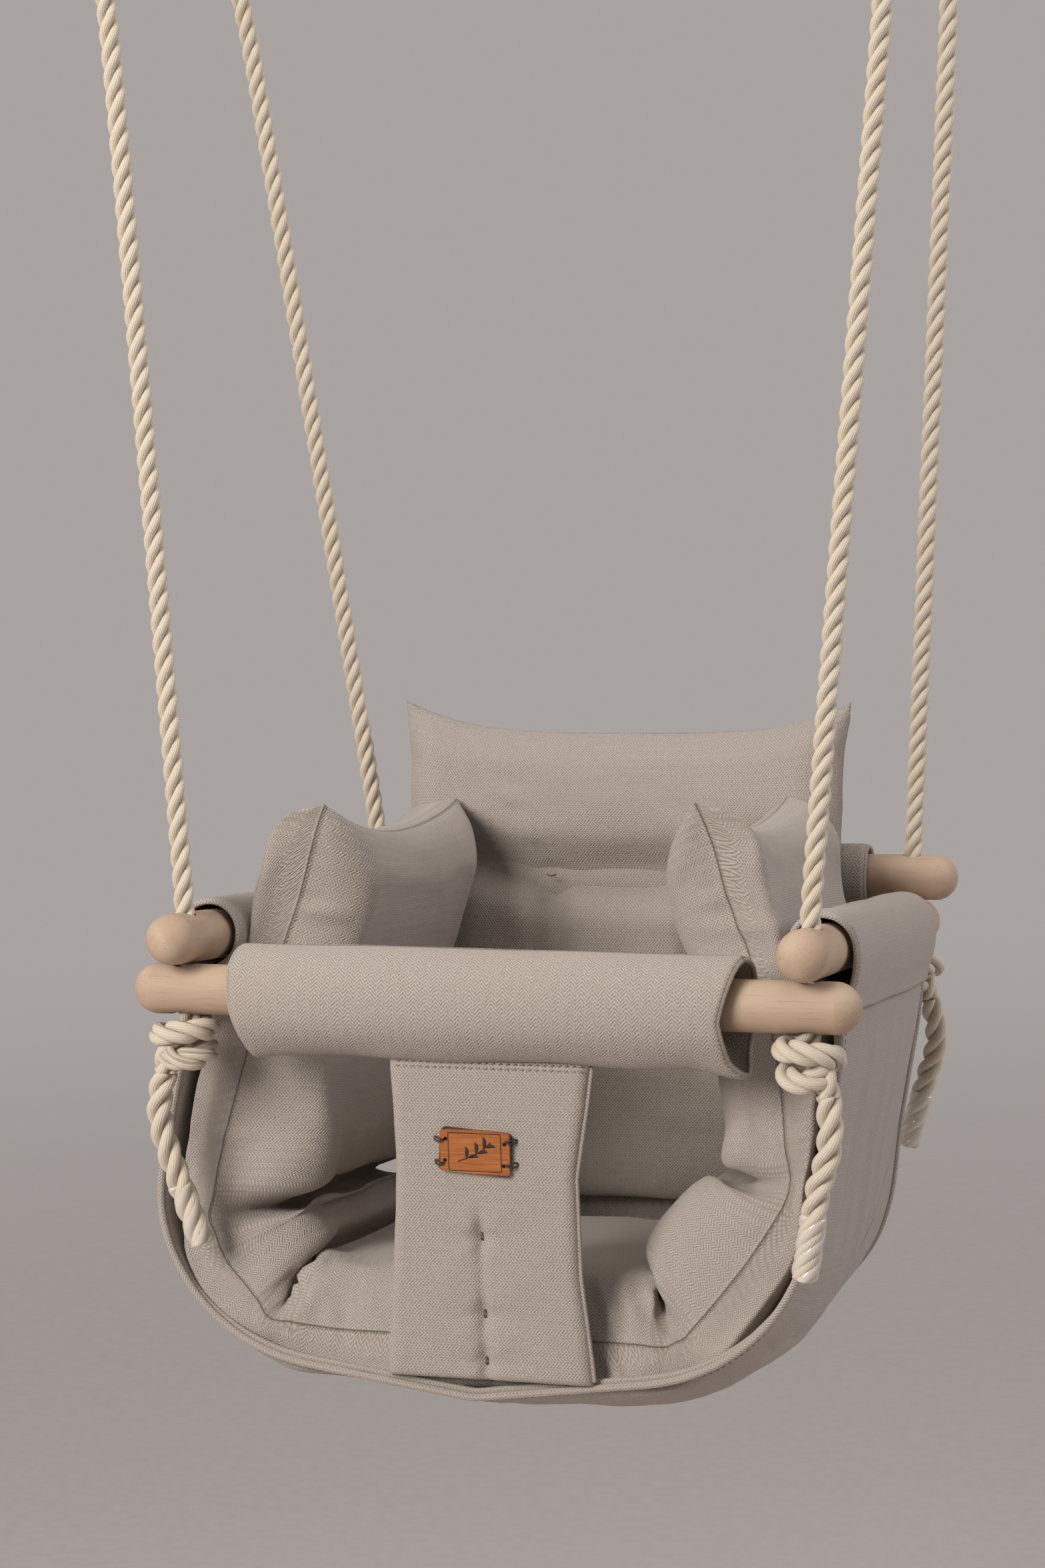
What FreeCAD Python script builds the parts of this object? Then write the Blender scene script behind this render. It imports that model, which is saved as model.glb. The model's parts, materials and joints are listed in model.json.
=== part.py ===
"""Baby swing: a padded fabric bucket seat on four crossed beech dowels, hung on four cotton ropes.

The seat is drawn level, as it would lie on a bench, then tipped back and lowered to where it hangs.
Level drawing: X to the right, Y from the front rope holes towards the back, Z up from the axis
of the front dowel. Hanging model: origin midway between the four rings' wires, Z up, front at -Y.
"""

import FreeCAD, Part
import math
import os

from FreeCAD import Vector

# Driving dimensions, in millimetres and degrees.
DOWEL_DIAMETER = 30.0
DOWEL_LENGTH = 436.0
DOWEL_DOME = 13.5  # height of the rounded end
HOLE_SPACING_X = 376.0  # between the rope holes of the front and back dowels
HOLE_SPACING_Y = 366.0  # between the rope holes of a side dowel
STACK_PITCH = 30.2  # from one dowel's axis to the next where two cross
ROPE_DIAMETER = 13.0
ROPE_HOLE_DIAMETER = 14.0
HANG_HEIGHT = 665.0  # from the front and back dowels' axes up to the rings' wires
FRONT_DOWEL_Y = -187.0  # the front dowel's axis in the hanging model
RING_X = 237.5  # the rope pivots on the rings' wires
RING_Y = 107.0

RING_WIRE = 8.0
RING_RADIUS = 24.0  # to the middle of the wire
PIVOT_LIFT = 8.0  # the ropes bend this far above the upper dowel
PIVOT_GAP = 0.3  # between a rope and its stub in the dowels

EYE_LEG = 7.3  # from the rope's line to each leg of the eye, inside the whipping
EYE_BOW = 18.5  # to each side of the wire, wide enough for the back ropes' loose pivots
EYE_CROWN = 12.0  # from the wire's middle up to the rope's middle
WHIPPING_TOP = 42.0  # below the wire
WHIPPING_BOTTOM = 66.0
WHIPPING_WALL = 1.8
WHIPPING_CLEARANCE = 0.9
EYE_FORK = 112.0  # below the wire, where the eye's two legs part
EYE_JOIN = 78.0  # below the wire, where both legs are side by side
EYE_OPENING = 38.0  # below the wire, where the legs leave the whipping
EYE_WIDEST = 4.0  # above the wire's middle

KNOT_DIAMETER = 42.0
KNOT_HEIGHT = 31.0
KNOT_ROUNDING = 10.0
END_SLEEVE_DIAMETER = 14.6
END_SLEEVE_LENGTH = 40.0

FABRIC = 3.0  # two layers of the shell
SLEEVE_WALL = 3.5
SLEEVE_CLEARANCE = 0.5
SIDE_SLEEVE_FRONT = 40.0
SIDE_SLEEVE_BACK = 328.0
BACK_SLEEVE_HALF = 158.0
COVER_HALF = 150.0
COVER_HALF_DEPTH = 26.0
COVER_HALF_HEIGHT = 31.0
COVER_DROP = 4.5

SHELL_HALF_WIDTH = 201.0
SHELL_TOP = 10.0
SHELL_CORNER = 110.0  # radius of the lower corners
SHELL_CORNER_Z = -118.0  # where the side turns into the corner
SHELL_MIDDLE_Z = -241.0
SHELL_FRONT = 43.5
SHELL_BACK = 325.0
HEM_WIDTH = 6.0
HEM_THICKNESS = 5.0
BACK_PANEL_Y = 360.0

STRAP_WIDTH = 120.0
STRAP_THICKNESS = 12.0
STRAP_TOP = -36.5
STRAP_BOTTOM = -231.0
LABEL_SIZE = (43.0, 3.0, 26.0)
LABEL_MIDDLE = (-9.0, -90.0)
LABEL_TURN = 3.5  # degrees clockwise as seen from the front; it is sewn on a little askew
LABEL_HOLE = 2.4
THREAD = 1.4
THREAD_STAPLE = 6.0  # length of a label stitch over the plate's edge
PADDING_FRONT = 46.0
PADDING_BACK = 317.0
STRAP_TACKS = (-143.0, -190.0, -219.0)  # heights of the strap's tacks
BACK_TACK_X = 52.0
BACK_TACK_N = 60.0
TACK_LENGTH = 6.0
GAP = 0.3

DOWEL_RADIUS = DOWEL_DIAMETER / 2
ROPE_RADIUS = ROPE_DIAMETER / 2
HALF_X = HOLE_SPACING_X / 2
RECLINE = math.degrees(math.atan2(2 * STACK_PITCH, HOLE_SPACING_Y))
ORIGIN = Vector(0, 0, 0)
AXIS_X = Vector(1, 0, 0)
AXIS_Y = Vector(0, 1, 0)
AXIS_Z = Vector(0, 0, 1)
SIDES = {"left": -1, "right": 1}
ENDS = ("front", "back")

parts = {}


# Placing and saving.


def lower(shape):
    """Moves a plumb piece, drawn round the front dowel's axis, down to where the seat hangs."""
    shape = shape.copy()
    shape.translate(Vector(0, FRONT_DOWEL_Y, -HANG_HEIGHT))
    return shape


def tip(shape):
    """Tips a piece of the level drawing back with the seat and lowers it."""
    shape = shape.copy()
    shape.rotate(ORIGIN, AXIS_X, -RECLINE)
    return lower(shape)


def tipped(point):
    """Where a point of the level drawing hangs."""
    turned = FreeCAD.Rotation(AXIS_X, -RECLINE).multVec(point)
    return turned + Vector(0, FRONT_DOWEL_Y, -HANG_HEIGHT)


# Basic shapes.


def prism_x(outline, x_low, x_high):
    """Solid with a (y, z) outline, from x_low to x_high."""
    corners = [Vector(x_low, y, z) for y, z in outline]
    face = Part.Face(Part.makePolygon(corners + corners[:1]))
    return face.extrude(Vector(x_high - x_low, 0, 0))


def prism_y(outline, y_low, y_high):
    """Solid with an (x, z) outline, from y_low to y_high."""
    corners = [Vector(x, y_low, z) for x, z in outline]
    face = Part.Face(Part.makePolygon(corners + corners[:1]))
    return face.extrude(Vector(0, y_high - y_low, 0))


def mirrored(outline):
    return [(-x, z) for x, z in outline]


def tube(outer, inner, start, direction, length):
    outside = Part.makeCylinder(outer, length, start, direction)
    return outside.cut(Part.makeCylinder(inner, length, start, direction))


def cord_tube(name, points, diameter):
    """Round cord along straight runs joined by tangent arcs, each 0.45 of its shorter run."""
    edges = []
    radii = []
    start = points[0]
    for before, corner, after in zip(points, points[1:], points[2:]):
        back = before - corner
        on = after - corner
        reach = 0.45 * min(back.Length, on.Length)
        back.normalize()
        on.normalize()
        half_turn = (math.pi - back.getAngle(on)) / 2
        radius = reach / math.tan(half_turn)
        inward = (back + on).normalize()
        inside = radius / math.cos(half_turn) - radius
        first = corner + back * reach
        last = corner + on * reach
        edges.append(Part.LineSegment(start, first).toShape())
        edges.append(Part.Arc(first, corner + inward * inside, last).toShape())
        radii.append(radius)
        start = last
    edges.append(Part.LineSegment(start, points[-1]).toShape())
    path = Part.Wire(edges)
    section = Part.Wire(Part.makeCircle(diameter / 2, points[0], points[1] - points[0]))
    solid = path.makePipeShell([section], True, False)
    share = solid.Volume / (math.pi * diameter**2 / 4 * path.Length)
    print(name, "length", round(path.Length), "radii", [round(r) for r in radii], "volume", round(share, 3))
    return solid


# The four dowels.


def dowel(holes):
    """Round bar along X with rounded ends, drilled through along Z at the given places."""
    half = DOWEL_LENGTH / 2
    ball = (DOWEL_RADIUS**2 + DOWEL_DOME**2) / (2 * DOWEL_DOME)
    slant = math.acos(1 - DOWEL_DOME / ball) / 2
    quarter = Vector(half - ball + ball * math.cos(slant), 0, ball * math.sin(slant))
    shoulder = Vector(half - DOWEL_DOME, 0, DOWEL_RADIUS)
    tip_point = Vector(half, 0, 0)

    def flipped(point):
        return Vector(-point.x, 0, point.z)

    outline = Part.Wire(
        [
            Part.Arc(flipped(tip_point), flipped(quarter), flipped(shoulder)).toShape(),
            Part.LineSegment(flipped(shoulder), shoulder).toShape(),
            Part.Arc(shoulder, quarter, tip_point).toShape(),
            Part.LineSegment(tip_point, flipped(tip_point)).toShape(),
        ]
    )
    bar = Part.Face(outline).revolve(ORIGIN, AXIS_X, 360)
    for x in holes:
        start = Vector(x, 0, -DOWEL_DIAMETER)
        bar = bar.cut(Part.makeCylinder(ROPE_HOLE_DIAMETER / 2, 2 * DOWEL_DIAMETER, start, AXIS_Z))
    return bar


def add_dowels():
    across = dowel([-HALF_X, HALF_X])
    parts["front_dowel"] = tip(across)
    back = across.copy()
    back.translate(Vector(0, HOLE_SPACING_Y, 2 * STACK_PITCH))
    parts["back_dowel"] = tip(back)
    along = dowel([-HOLE_SPACING_Y / 2, HOLE_SPACING_Y / 2])
    along.rotate(ORIGIN, AXIS_Z, 90)
    for side, sign in SIDES.items():
        bar = along.copy()
        bar.translate(Vector(sign * HALF_X, HOLE_SPACING_Y / 2, STACK_PITCH))
        parts[side + "_dowel"] = tip(bar)


# Ropes, rings, knots and tails.


def corner_heights(end):
    """Height of the lower dowel's axis and of the upper dowel's axis at the front or back holes."""
    lower_axis = 0.0 if end == "front" else STACK_PITCH
    return lower_axis, lower_axis + STACK_PITCH


def seat_pivot(end, sign):
    """Where a rope bends as the seat swings, just above its upper dowel."""
    y = 0.0 if end == "front" else HOLE_SPACING_Y
    z = corner_heights(end)[1] + DOWEL_RADIUS + PIVOT_LIFT
    return tipped(Vector(sign * HALF_X, y, z))


def ring_pivot(end, sign):
    """Middle of the ring's wire where the rope's eye goes over it."""
    return Vector(sign * RING_X, -RING_Y if end == "front" else RING_Y, 0)


def rope_axes(end, sign):
    """Foot of the free rope, its direction up to the ring, its side direction and its length."""
    foot = seat_pivot(end, sign)
    span = ring_pivot(end, sign) - foot
    length = span.Length
    up = Vector(span).normalize()
    side = up.cross(AXIS_X).normalize() * -1
    return foot, up, side, length


def add_rope(name, end, sign):
    """Free rope from above the dowel, up and over the ring's wire, and back down its own side."""
    foot, up, side, length = rope_axes(end, sign)
    straight = [(ROPE_RADIUS + PIVOT_GAP, 0), (length - EYE_FORK, 0)]
    rising = [
        (length - EYE_JOIN, EYE_LEG),
        (length - EYE_OPENING, EYE_LEG + GAP),
        (length - EYE_CROWN, EYE_BOW - 1.5),
        (length + EYE_WIDEST, EYE_BOW),
        (length + EYE_CROWN, EYE_BOW / 2),
    ]
    falling = [(u, -v) for u, v in rising[:0:-1]]
    end_of_leg = [(length - WHIPPING_BOTTOM - 3, -EYE_LEG)]
    points = [foot + up * u + side * v for u, v in straight + rising + falling + end_of_leg]
    parts[name + "_rope"] = cord_tube(name + "_rope", points, ROPE_DIAMETER)


def add_whipping(name, end, sign):
    """Band of twine round the eye's two legs, a stadium in section."""
    foot, up, side, length = rope_axes(end, sign)
    across = side.cross(up)
    inner = ROPE_RADIUS + WHIPPING_CLEARANCE
    legs = EYE_LEG + GAP / 2

    def stadium(radius):
        centre_a = side * legs
        centre_b = side * -legs
        edges = [
            Part.LineSegment(centre_b + across * radius, centre_a + across * radius),
            Part.Arc(centre_a + across * radius, centre_a + side * radius, centre_a - across * radius),
            Part.LineSegment(centre_a - across * radius, centre_b - across * radius),
            Part.Arc(centre_b - across * radius, centre_b - side * radius, centre_b + across * radius),
        ]
        return Part.Face(Part.Wire([edge.toShape() for edge in edges]))

    height = WHIPPING_BOTTOM - WHIPPING_TOP
    band = stadium(inner + WHIPPING_WALL).extrude(up * height)
    band = band.cut(stadium(inner).extrude(up * height))
    band.translate(foot + up * (length - WHIPPING_BOTTOM))
    parts[name + "_whipping"] = band


def add_ring(name, end, sign):
    """Steel ring that stands across the rope's eye, its lowest wire at the pivot."""
    centre = ring_pivot(end, sign) + AXIS_Z * RING_RADIUS
    parts[name + "_ring"] = Part.makeTorus(RING_RADIUS, RING_WIRE / 2, centre, AXIS_Y)


def add_knot(name, end, sign):
    """Stopper knot under the lower dowel, with the stretch of rope that fills both dowels' holes."""
    y = 0.0 if end == "front" else HOLE_SPACING_Y
    low_axis, high_axis = corner_heights(end)
    under = low_axis - DOWEL_RADIUS - GAP
    pivot_z = high_axis + DOWEL_RADIUS + PIVOT_LIFT
    knot = Part.makeCylinder(KNOT_DIAMETER / 2, KNOT_HEIGHT, Vector(0, 0, -KNOT_HEIGHT))
    knot = knot.makeFillet(KNOT_ROUNDING, knot.Edges)
    knot.translate(Vector(sign * HALF_X, y, under))
    core_low = under - KNOT_HEIGHT / 2
    core = Part.makeCylinder(ROPE_RADIUS, pivot_z - core_low, Vector(sign * HALF_X, y, core_low))
    dome = Part.makeSphere(ROPE_RADIUS, Vector(sign * HALF_X, y, pivot_z))
    parts[name + "_knot"] = tip(knot.fuse(core).fuse(dome).removeSplitter())


# Tails: points from under the knot down to the start of the end sleeve, measured plumb from the
# lower dowel's rope hole. The sleeve goes on straight from the last point.
FRONT_RIGHT_TAIL = [(11, -8, -48), (13, -9, -67), (10, -8.5, -86), (4, -7, -103), (1.5, -6.7, -118)]
FRONT_LEFT_TAIL = [(-11, -8, -48), (-17, -9, -66), (-15, -9, -86), (-10.5, -8, -103), (-6.5, -7, -117)]
BACK_RIGHT_TAIL = [(11, -5, -49), (15, 0, -67), (14, 4, -87), (8, 6, -104), (4, 6.5, -118)]
BACK_LEFT_TAIL = [(-10, -5, -49), (-15, -1, -66), (-16, 3, -85), (-12, 6, -102), (-9, 7, -116)]
TAILS = {
    "front_left": FRONT_LEFT_TAIL,
    "front_right": FRONT_RIGHT_TAIL,
    "back_left": BACK_LEFT_TAIL,
    "back_right": BACK_RIGHT_TAIL,
}


def add_tail(name, end, sign):
    """Free end of the rope below the knot, and the clear sleeve shrunk on its last stretch."""
    y = 0.0 if end == "front" else HOLE_SPACING_Y
    hole = tipped(Vector(sign * HALF_X, y, corner_heights(end)[0]))
    points = [hole + Vector(*step) for step in TAILS[name]]
    parts[name + "_tail"] = cord_tube(name + "_tail", points, ROPE_DIAMETER)
    last = (points[-1] - points[-2]).normalize()
    sleeve = Part.makeCylinder(END_SLEEVE_DIAMETER / 2, END_SLEEVE_LENGTH, points[-1], last)
    parts[name + "_end_sleeve"] = sleeve


def add_corners():
    for end in ENDS:
        for side, sign in SIDES.items():
            name = end + "_" + side
            add_rope(name, end, sign)
            add_whipping(name, end, sign)
            add_ring(name, end, sign)
            add_knot(name, end, sign)
            add_tail(name, end, sign)


# Fabric on the dowels.


def add_sleeves():
    inner = DOWEL_RADIUS + SLEEVE_CLEARANCE
    outer = inner + SLEEVE_WALL
    length = SIDE_SLEEVE_BACK - SIDE_SLEEVE_FRONT
    for side, sign in SIDES.items():
        start = Vector(sign * HALF_X, SIDE_SLEEVE_FRONT, STACK_PITCH)
        parts[side + "_sleeve"] = tip(tube(outer, inner, start, AXIS_Y, length))
    start = Vector(-BACK_SLEEVE_HALF, HOLE_SPACING_Y, 2 * STACK_PITCH)
    parts["back_sleeve"] = tip(tube(outer, inner, start, AXIS_X, 2 * BACK_SLEEVE_HALF))


def add_front_cover():
    """Padded tube that hangs on the front dowel, oval in section, with the bar through it."""
    oval = Part.Ellipse(ORIGIN, COVER_HALF_HEIGHT, COVER_HALF_DEPTH).toShape()
    cover = Part.Face(Part.Wire(oval)).extrude(Vector(0, 0, 2 * COVER_HALF))
    cover.rotate(ORIGIN, AXIS_Y, 90)
    cover.translate(Vector(-COVER_HALF, 0, -COVER_DROP))
    bore = DOWEL_RADIUS + GAP
    bar = Part.makeCylinder(bore, 2 * COVER_HALF, Vector(-COVER_HALF, 0, 0), AXIS_X)
    parts["front_bar_cover"] = lower(cover.cut(bar))


def add_strap():
    """Padded crotch strap from the front cover down to the shell's hem, with its wooden label."""
    back_face = STRAP_THICKNESS / 2
    strap = Part.makeBox(
        STRAP_WIDTH,
        STRAP_THICKNESS,
        STRAP_TOP - STRAP_BOTTOM,
        Vector(-STRAP_WIDTH / 2, -back_face, STRAP_BOTTOM),
    )
    strap = strap.makeFillet(STRAP_THICKNESS / 4, strap.Edges)
    parts["crotch_strap"] = lower(strap)
    width, depth, height = LABEL_SIZE
    x, z = LABEL_MIDDLE
    front = -back_face - GAP - depth
    plate = Part.makeBox(width, depth, height, Vector(x - width / 2, front, z - height / 2))
    upright = [edge for edge in plate.Edges if abs(edge.tangentAt(edge.FirstParameter).y) > 0.9]
    plate = plate.makeFillet(depth, upright)
    stitches = []
    for side in (-1, 1):
        for level in (-1, 1):
            hole_x = x + side * (width / 2 - THREAD_STAPLE / 2 - THREAD / 2)
            hole_z = z + level * height / 4
            hole = Part.makeCylinder(LABEL_HOLE / 2, depth, Vector(hole_x, front, hole_z), AXIS_Y)
            plate = plate.cut(hole)
            low_x = min(hole_x, hole_x + side * THREAD_STAPLE)
            corner = Vector(low_x, front - THREAD - GAP / 3, hole_z - THREAD / 2)
            stitches.append(Part.makeBox(THREAD_STAPLE, THREAD, THREAD, corner))
    threads = Part.makeCompound(stitches)
    for shape in (plate, threads):
        shape.rotate(Vector(x, 0, z), AXIS_Y, LABEL_TURN)
    parts["label_plate"] = lower(plate)
    parts["label_stitches"] = lower(threads)


# Shell: one sheet that runs down one side, under the seat and up the other, and a back panel.


def shell_line(inset, sag):
    """Right half of the shell's section, from the sleeve down to the middle of the bottom.

    Everything below the front dowel's axis is stretched down until the middle sags by sag.
    """
    radius = SHELL_CORNER - inset
    middle_x = SHELL_HALF_WIDTH - SHELL_CORNER
    stretch = (SHELL_MIDDLE_Z - sag) / SHELL_MIDDLE_Z
    line = [(SHELL_HALF_WIDTH - inset, SHELL_TOP), (SHELL_HALF_WIDTH - inset, 0)]
    for step in range(7):
        turn = math.radians(15 * step)
        x = middle_x + radius * math.cos(turn)
        z = SHELL_CORNER_Z - radius * math.sin(turn)
        line.append((x, z * stretch))
    line.append((0, (SHELL_MIDDLE_Z + inset) * stretch))
    return line


# How far the shell's bottom sags at each distance from the front holes.
SAG = [(SHELL_FRONT, 0.0), (120.0, 21.0), (200.0, 27.0), (SHELL_BACK, 14.0)]
BOTTOM_SAG = SAG + [(BACK_PANEL_Y - 4, 8.0)]


def loft(outlines):
    """Ruled solid through closed outlines of points."""
    wires = [Part.makePolygon(points + points[:1]) for points in outlines]
    return Part.makeLoft(wires, True, True)


def add_shell():
    sides = []
    bottoms = []
    for y, sag in SAG:
        outside = [Vector(x, y, z) for x, z in shell_line(0, sag)[:-1]]
        inside = [Vector(x, y, z) for x, z in shell_line(FABRIC, sag)[:-1]]
        sides.append(outside + inside[::-1])
    parts["right_side_panel"] = tip(loft(sides))
    parts["left_side_panel"] = tip(loft([[Vector(-p.x, p.y, p.z) for p in ring] for ring in sides]))
    for y, sag in BOTTOM_SAG:
        half = shell_line(0, sag)[-2:]
        half_inside = shell_line(FABRIC, sag)[-2:]
        edge = half[0][0] - GAP
        rim = [(-edge, half[0][1]), half[1], (edge, half[0][1])]
        rim_inside = [(edge, half_inside[0][1]), half_inside[1], (-edge, half_inside[0][1])]
        bottoms.append([Vector(x, y, z) for x, z in rim + rim_inside])
    parts["bottom_panel"] = tip(loft(bottoms))


def add_hems():
    """Folded, stitched edges of the shell: all along its front, and up each side at the back."""
    outer = shell_line(-1, 0)
    inner = shell_line(HEM_THICKNESS - 1, 0)
    ring = outer + mirrored(outer[:-1])[::-1] + mirrored(inner[:-1]) + inner[::-1]
    front = SHELL_FRONT - GAP
    parts["front_hem"] = tip(prism_y(ring, front - HEM_WIDTH, front))
    back_sag = SAG[-1][1]
    outer = shell_line(-1, back_sag)[:-1]
    inner = shell_line(HEM_THICKNESS - 1, back_sag)[:-1]
    ring = outer + inner[::-1]
    start = SHELL_BACK + GAP
    parts["right_back_hem"] = tip(prism_y(ring, start, start + HEM_WIDTH))
    parts["left_back_hem"] = tip(prism_y(mirrored(ring), start, start + HEM_WIDTH))


# Right half of the back panel below its straight top edge, following the corner of the shell.
BACK_PANEL_CORNER = [(150, -120), (128, -200), (90, -240)]


def add_back_panel():
    top = 2 * STACK_PITCH - DOWEL_RADIUS - SLEEVE_CLEARANCE - SLEEVE_WALL - GAP
    half = [(BACK_PANEL_CORNER[0][0], top)] + BACK_PANEL_CORNER
    outline = half + mirrored(half)[::-1]
    parts["back_panel"] = tip(prism_y(outline, BACK_PANEL_Y, BACK_PANEL_Y + FABRIC))


# Padding: a U of five stuffed sections inside the shell, and a back cushion.

SIDE_CUSHION = [
    (194, -115), (194, 2), (168, 9), (150, 50), (125, 107), (110, 113),
    (98, 78), (112, 10), (120, -60), (130, -102),
]  # fmt: skip
SEAT_CUSHION_HALF = [(62, -158), (86, -166), (124, -216), (91, -222)]
SEAT_CUSHION_MIDDLE = (0, -235)
BACK_CUSHION_LOWER = [(321, -150), (354, -150), (357, -60), (345, 25), (345, 62), (321, 62)]
BACK_CUSHION_UPPER = [
    (321, 62), (345, 62), (345, 82), (370, 92), (378, 150), (372, 176), (350, 180), (326, 150),
]  # fmt: skip
BACK_CUSHION_HALF = 150.0
BACK_CUSHION_LOWER_HALF = 138.0


def corner_cushion():
    """Right-hand lower corner section, its outside following the shell's corner."""
    radius = SHELL_CORNER - HEM_THICKNESS
    middle_x = SHELL_HALF_WIDTH - SHELL_CORNER
    outside = []
    for degrees in (4, 20, 36, 52, 67):
        turn = math.radians(degrees)
        x = middle_x + radius * math.cos(turn)
        outside.append((x, SHELL_CORNER_Z - radius * math.sin(turn)))
    inside = [(88, -163), (93, -143), (107, -122), (130, -106)]
    return outside + inside


def add_padding():
    pads = {"side": SIDE_CUSHION, "corner": corner_cushion()}
    for kind, outline in pads.items():
        parts["right_" + kind + "_cushion"] = tip(prism_y(outline, PADDING_FRONT, PADDING_BACK))
        left = prism_y(mirrored(outline), PADDING_FRONT, PADDING_BACK)
        parts["left_" + kind + "_cushion"] = tip(left)
    seat = SEAT_CUSHION_HALF + [SEAT_CUSHION_MIDDLE] + mirrored(SEAT_CUSHION_HALF)[::-1]
    parts["seat_cushion"] = tip(prism_y(seat, PADDING_FRONT, BACK_PANEL_Y - 8))
    lower_half = prism_x(BACK_CUSHION_LOWER, -BACK_CUSHION_LOWER_HALF, BACK_CUSHION_LOWER_HALF)
    upper_half = prism_x(BACK_CUSHION_UPPER, -BACK_CUSHION_HALF, BACK_CUSHION_HALF)
    parts["back_cushion"] = tip(lower_half.fuse(upper_half).removeSplitter())


def add_tufts():
    """Thread tacks that pull the padding in: three on the strap and two on the back cushion."""
    tacks = []
    for z in STRAP_TACKS:
        corner = Vector(-THREAD / 2, -STRAP_THICKNESS / 2 - THREAD - GAP, z - TACK_LENGTH / 2)
        tacks.append(lower(Part.makeBox(THREAD, THREAD, TACK_LENGTH, corner)))
    for x in (-BACK_TACK_X, BACK_TACK_X):
        corner = Vector(x - TACK_LENGTH / 2, BACK_CUSHION_LOWER[0][0] - THREAD - GAP, BACK_TACK_N)
        tacks.append(tip(Part.makeBox(TACK_LENGTH, THREAD, THREAD, corner)))
    parts["tuft_threads"] = Part.makeCompound(tacks)


def save():
    os.makedirs("parts", exist_ok=True)
    for name, shape in parts.items():
        if not shape.isValid():
            print("not valid:", name)
        shape.exportStep("parts/" + name + ".step")
    print(len(parts), "nodes")


add_dowels()
add_corners()
add_sleeves()
add_front_cover()
add_strap()
add_shell()
add_hems()
add_back_panel()
add_padding()
add_tufts()
save()
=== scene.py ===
"""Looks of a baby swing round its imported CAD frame: cotton ropes, beech dowels and a padded fabric seat.

Blender pieces are in the frame's metres. Seat pieces are drawn in millimetres in the level drawing:
X to the right, S along the side dowels from the front rope holes, N up from the front dowel's axis.
"""

import json
import math

import bpy
import numpy as np
from mathutils import Matrix, Vector, noise


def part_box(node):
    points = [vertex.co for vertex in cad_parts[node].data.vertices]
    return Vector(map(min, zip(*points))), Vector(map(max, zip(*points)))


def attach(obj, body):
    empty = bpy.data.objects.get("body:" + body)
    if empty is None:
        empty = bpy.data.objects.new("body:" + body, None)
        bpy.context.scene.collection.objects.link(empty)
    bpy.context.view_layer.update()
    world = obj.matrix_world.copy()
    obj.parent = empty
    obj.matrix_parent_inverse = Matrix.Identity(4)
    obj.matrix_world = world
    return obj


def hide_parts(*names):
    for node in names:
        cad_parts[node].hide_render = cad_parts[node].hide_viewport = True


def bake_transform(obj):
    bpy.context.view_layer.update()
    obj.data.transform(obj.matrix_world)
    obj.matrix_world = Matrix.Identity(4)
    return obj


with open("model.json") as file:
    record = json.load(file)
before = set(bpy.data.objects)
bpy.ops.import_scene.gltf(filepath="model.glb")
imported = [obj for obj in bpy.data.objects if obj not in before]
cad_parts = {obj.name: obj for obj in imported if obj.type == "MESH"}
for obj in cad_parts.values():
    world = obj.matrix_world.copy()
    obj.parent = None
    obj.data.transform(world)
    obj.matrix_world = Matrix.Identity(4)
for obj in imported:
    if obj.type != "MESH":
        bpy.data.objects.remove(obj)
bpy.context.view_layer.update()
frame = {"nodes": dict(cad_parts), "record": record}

MM = 0.001
STACK_PITCH = 30.2  # from one dowel's axis to the next where two cross
HOLE_SPACING_Y = 366.0  # between the front and the back rope holes
ROPE_DIAMETER = 13.0
ROPE_LAY = 37.0  # length of one full turn of the three strands
SLACK_DIAMETER = 16.0  # the rope swells where nothing pulls it tight, in the knots and tails
SLACK_LAY = 44.0
SIDES = {"left": -1, "right": 1}
ENDS = ("front", "back")

CAMERA_PLACE = (0.5331, -1.9547, -0.2274)
CAMERA_AZIMUTH = 16.03  # degrees from straight in front, towards +X
CAMERA_DOWN = 9.63
CAMERA_ROLL = -2.07
CAMERA_LENS = 75.35
STUDIO_AIM = (0, 0, -0.7)  # what the lights point at
FLOOR_HEIGHT = -1.75
FLOOR_RADIUS = 9.0

SHELL_HALF_WIDTH = 201.0
SHELL_CORNER = 110.0  # radius of the bend between a side and the bottom
SHELL_CORNER_N = -118.0
SHELL_MIDDLE_N = -241.0
SHELL_FRONT = 40.0
SHELL_BACK = 328.0
BOTTOM_BACK = 356.0  # the bottom reaches further back than the sides
FABRIC = 2.6  # thickness of the sewn cloth
LEAN_SHIFT = -18.0  # the empty seat hangs a little to the left below the dowels
LEAN_DEPTH = 150.0

# Colours, as linear light.
PALE = (0.396, 0.367, 0.355)
WARM_GREY = (0.47, 0.41, 0.365)
DARK_YARN = (0.29, 0.245, 0.21)
FRONT_DIMMING = 0.55
DIMMING_RANGE = (-0.75, 0.25)  # from straight in front of the swing to a little behind its side
COTTON = (0.66, 0.57, 0.455)


def middle(node):
    low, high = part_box(node)
    return (low + high) / 2


FRONT_AXIS = middle("front_dowel")
BACK_AXIS = middle("back_dowel")
RECLINE = math.asin(2 * STACK_PITCH * MM / (BACK_AXIS - FRONT_AXIS).length)
BACK_ALONG = np.array([0, math.cos(RECLINE), -math.sin(RECLINE)])
UP_ALONG = np.array([0, math.sin(RECLINE), math.cos(RECLINE)])


# Places and small sums.


def smooth(t):
    t = np.clip(t, 0, 1)
    return t * t * (3 - 2 * t)


def level(points):
    """Millimetres of the level drawing (x, s, n) to metres of the frame, without the lean."""
    points = np.asarray(points, float) * MM
    return (
        np.array(FRONT_AXIS)
        + points[..., :1] * np.array([1, 0, 0])
        + points[..., 1:2] * BACK_ALONG
        + points[..., 2:3] * UP_ALONG
    )


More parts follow.
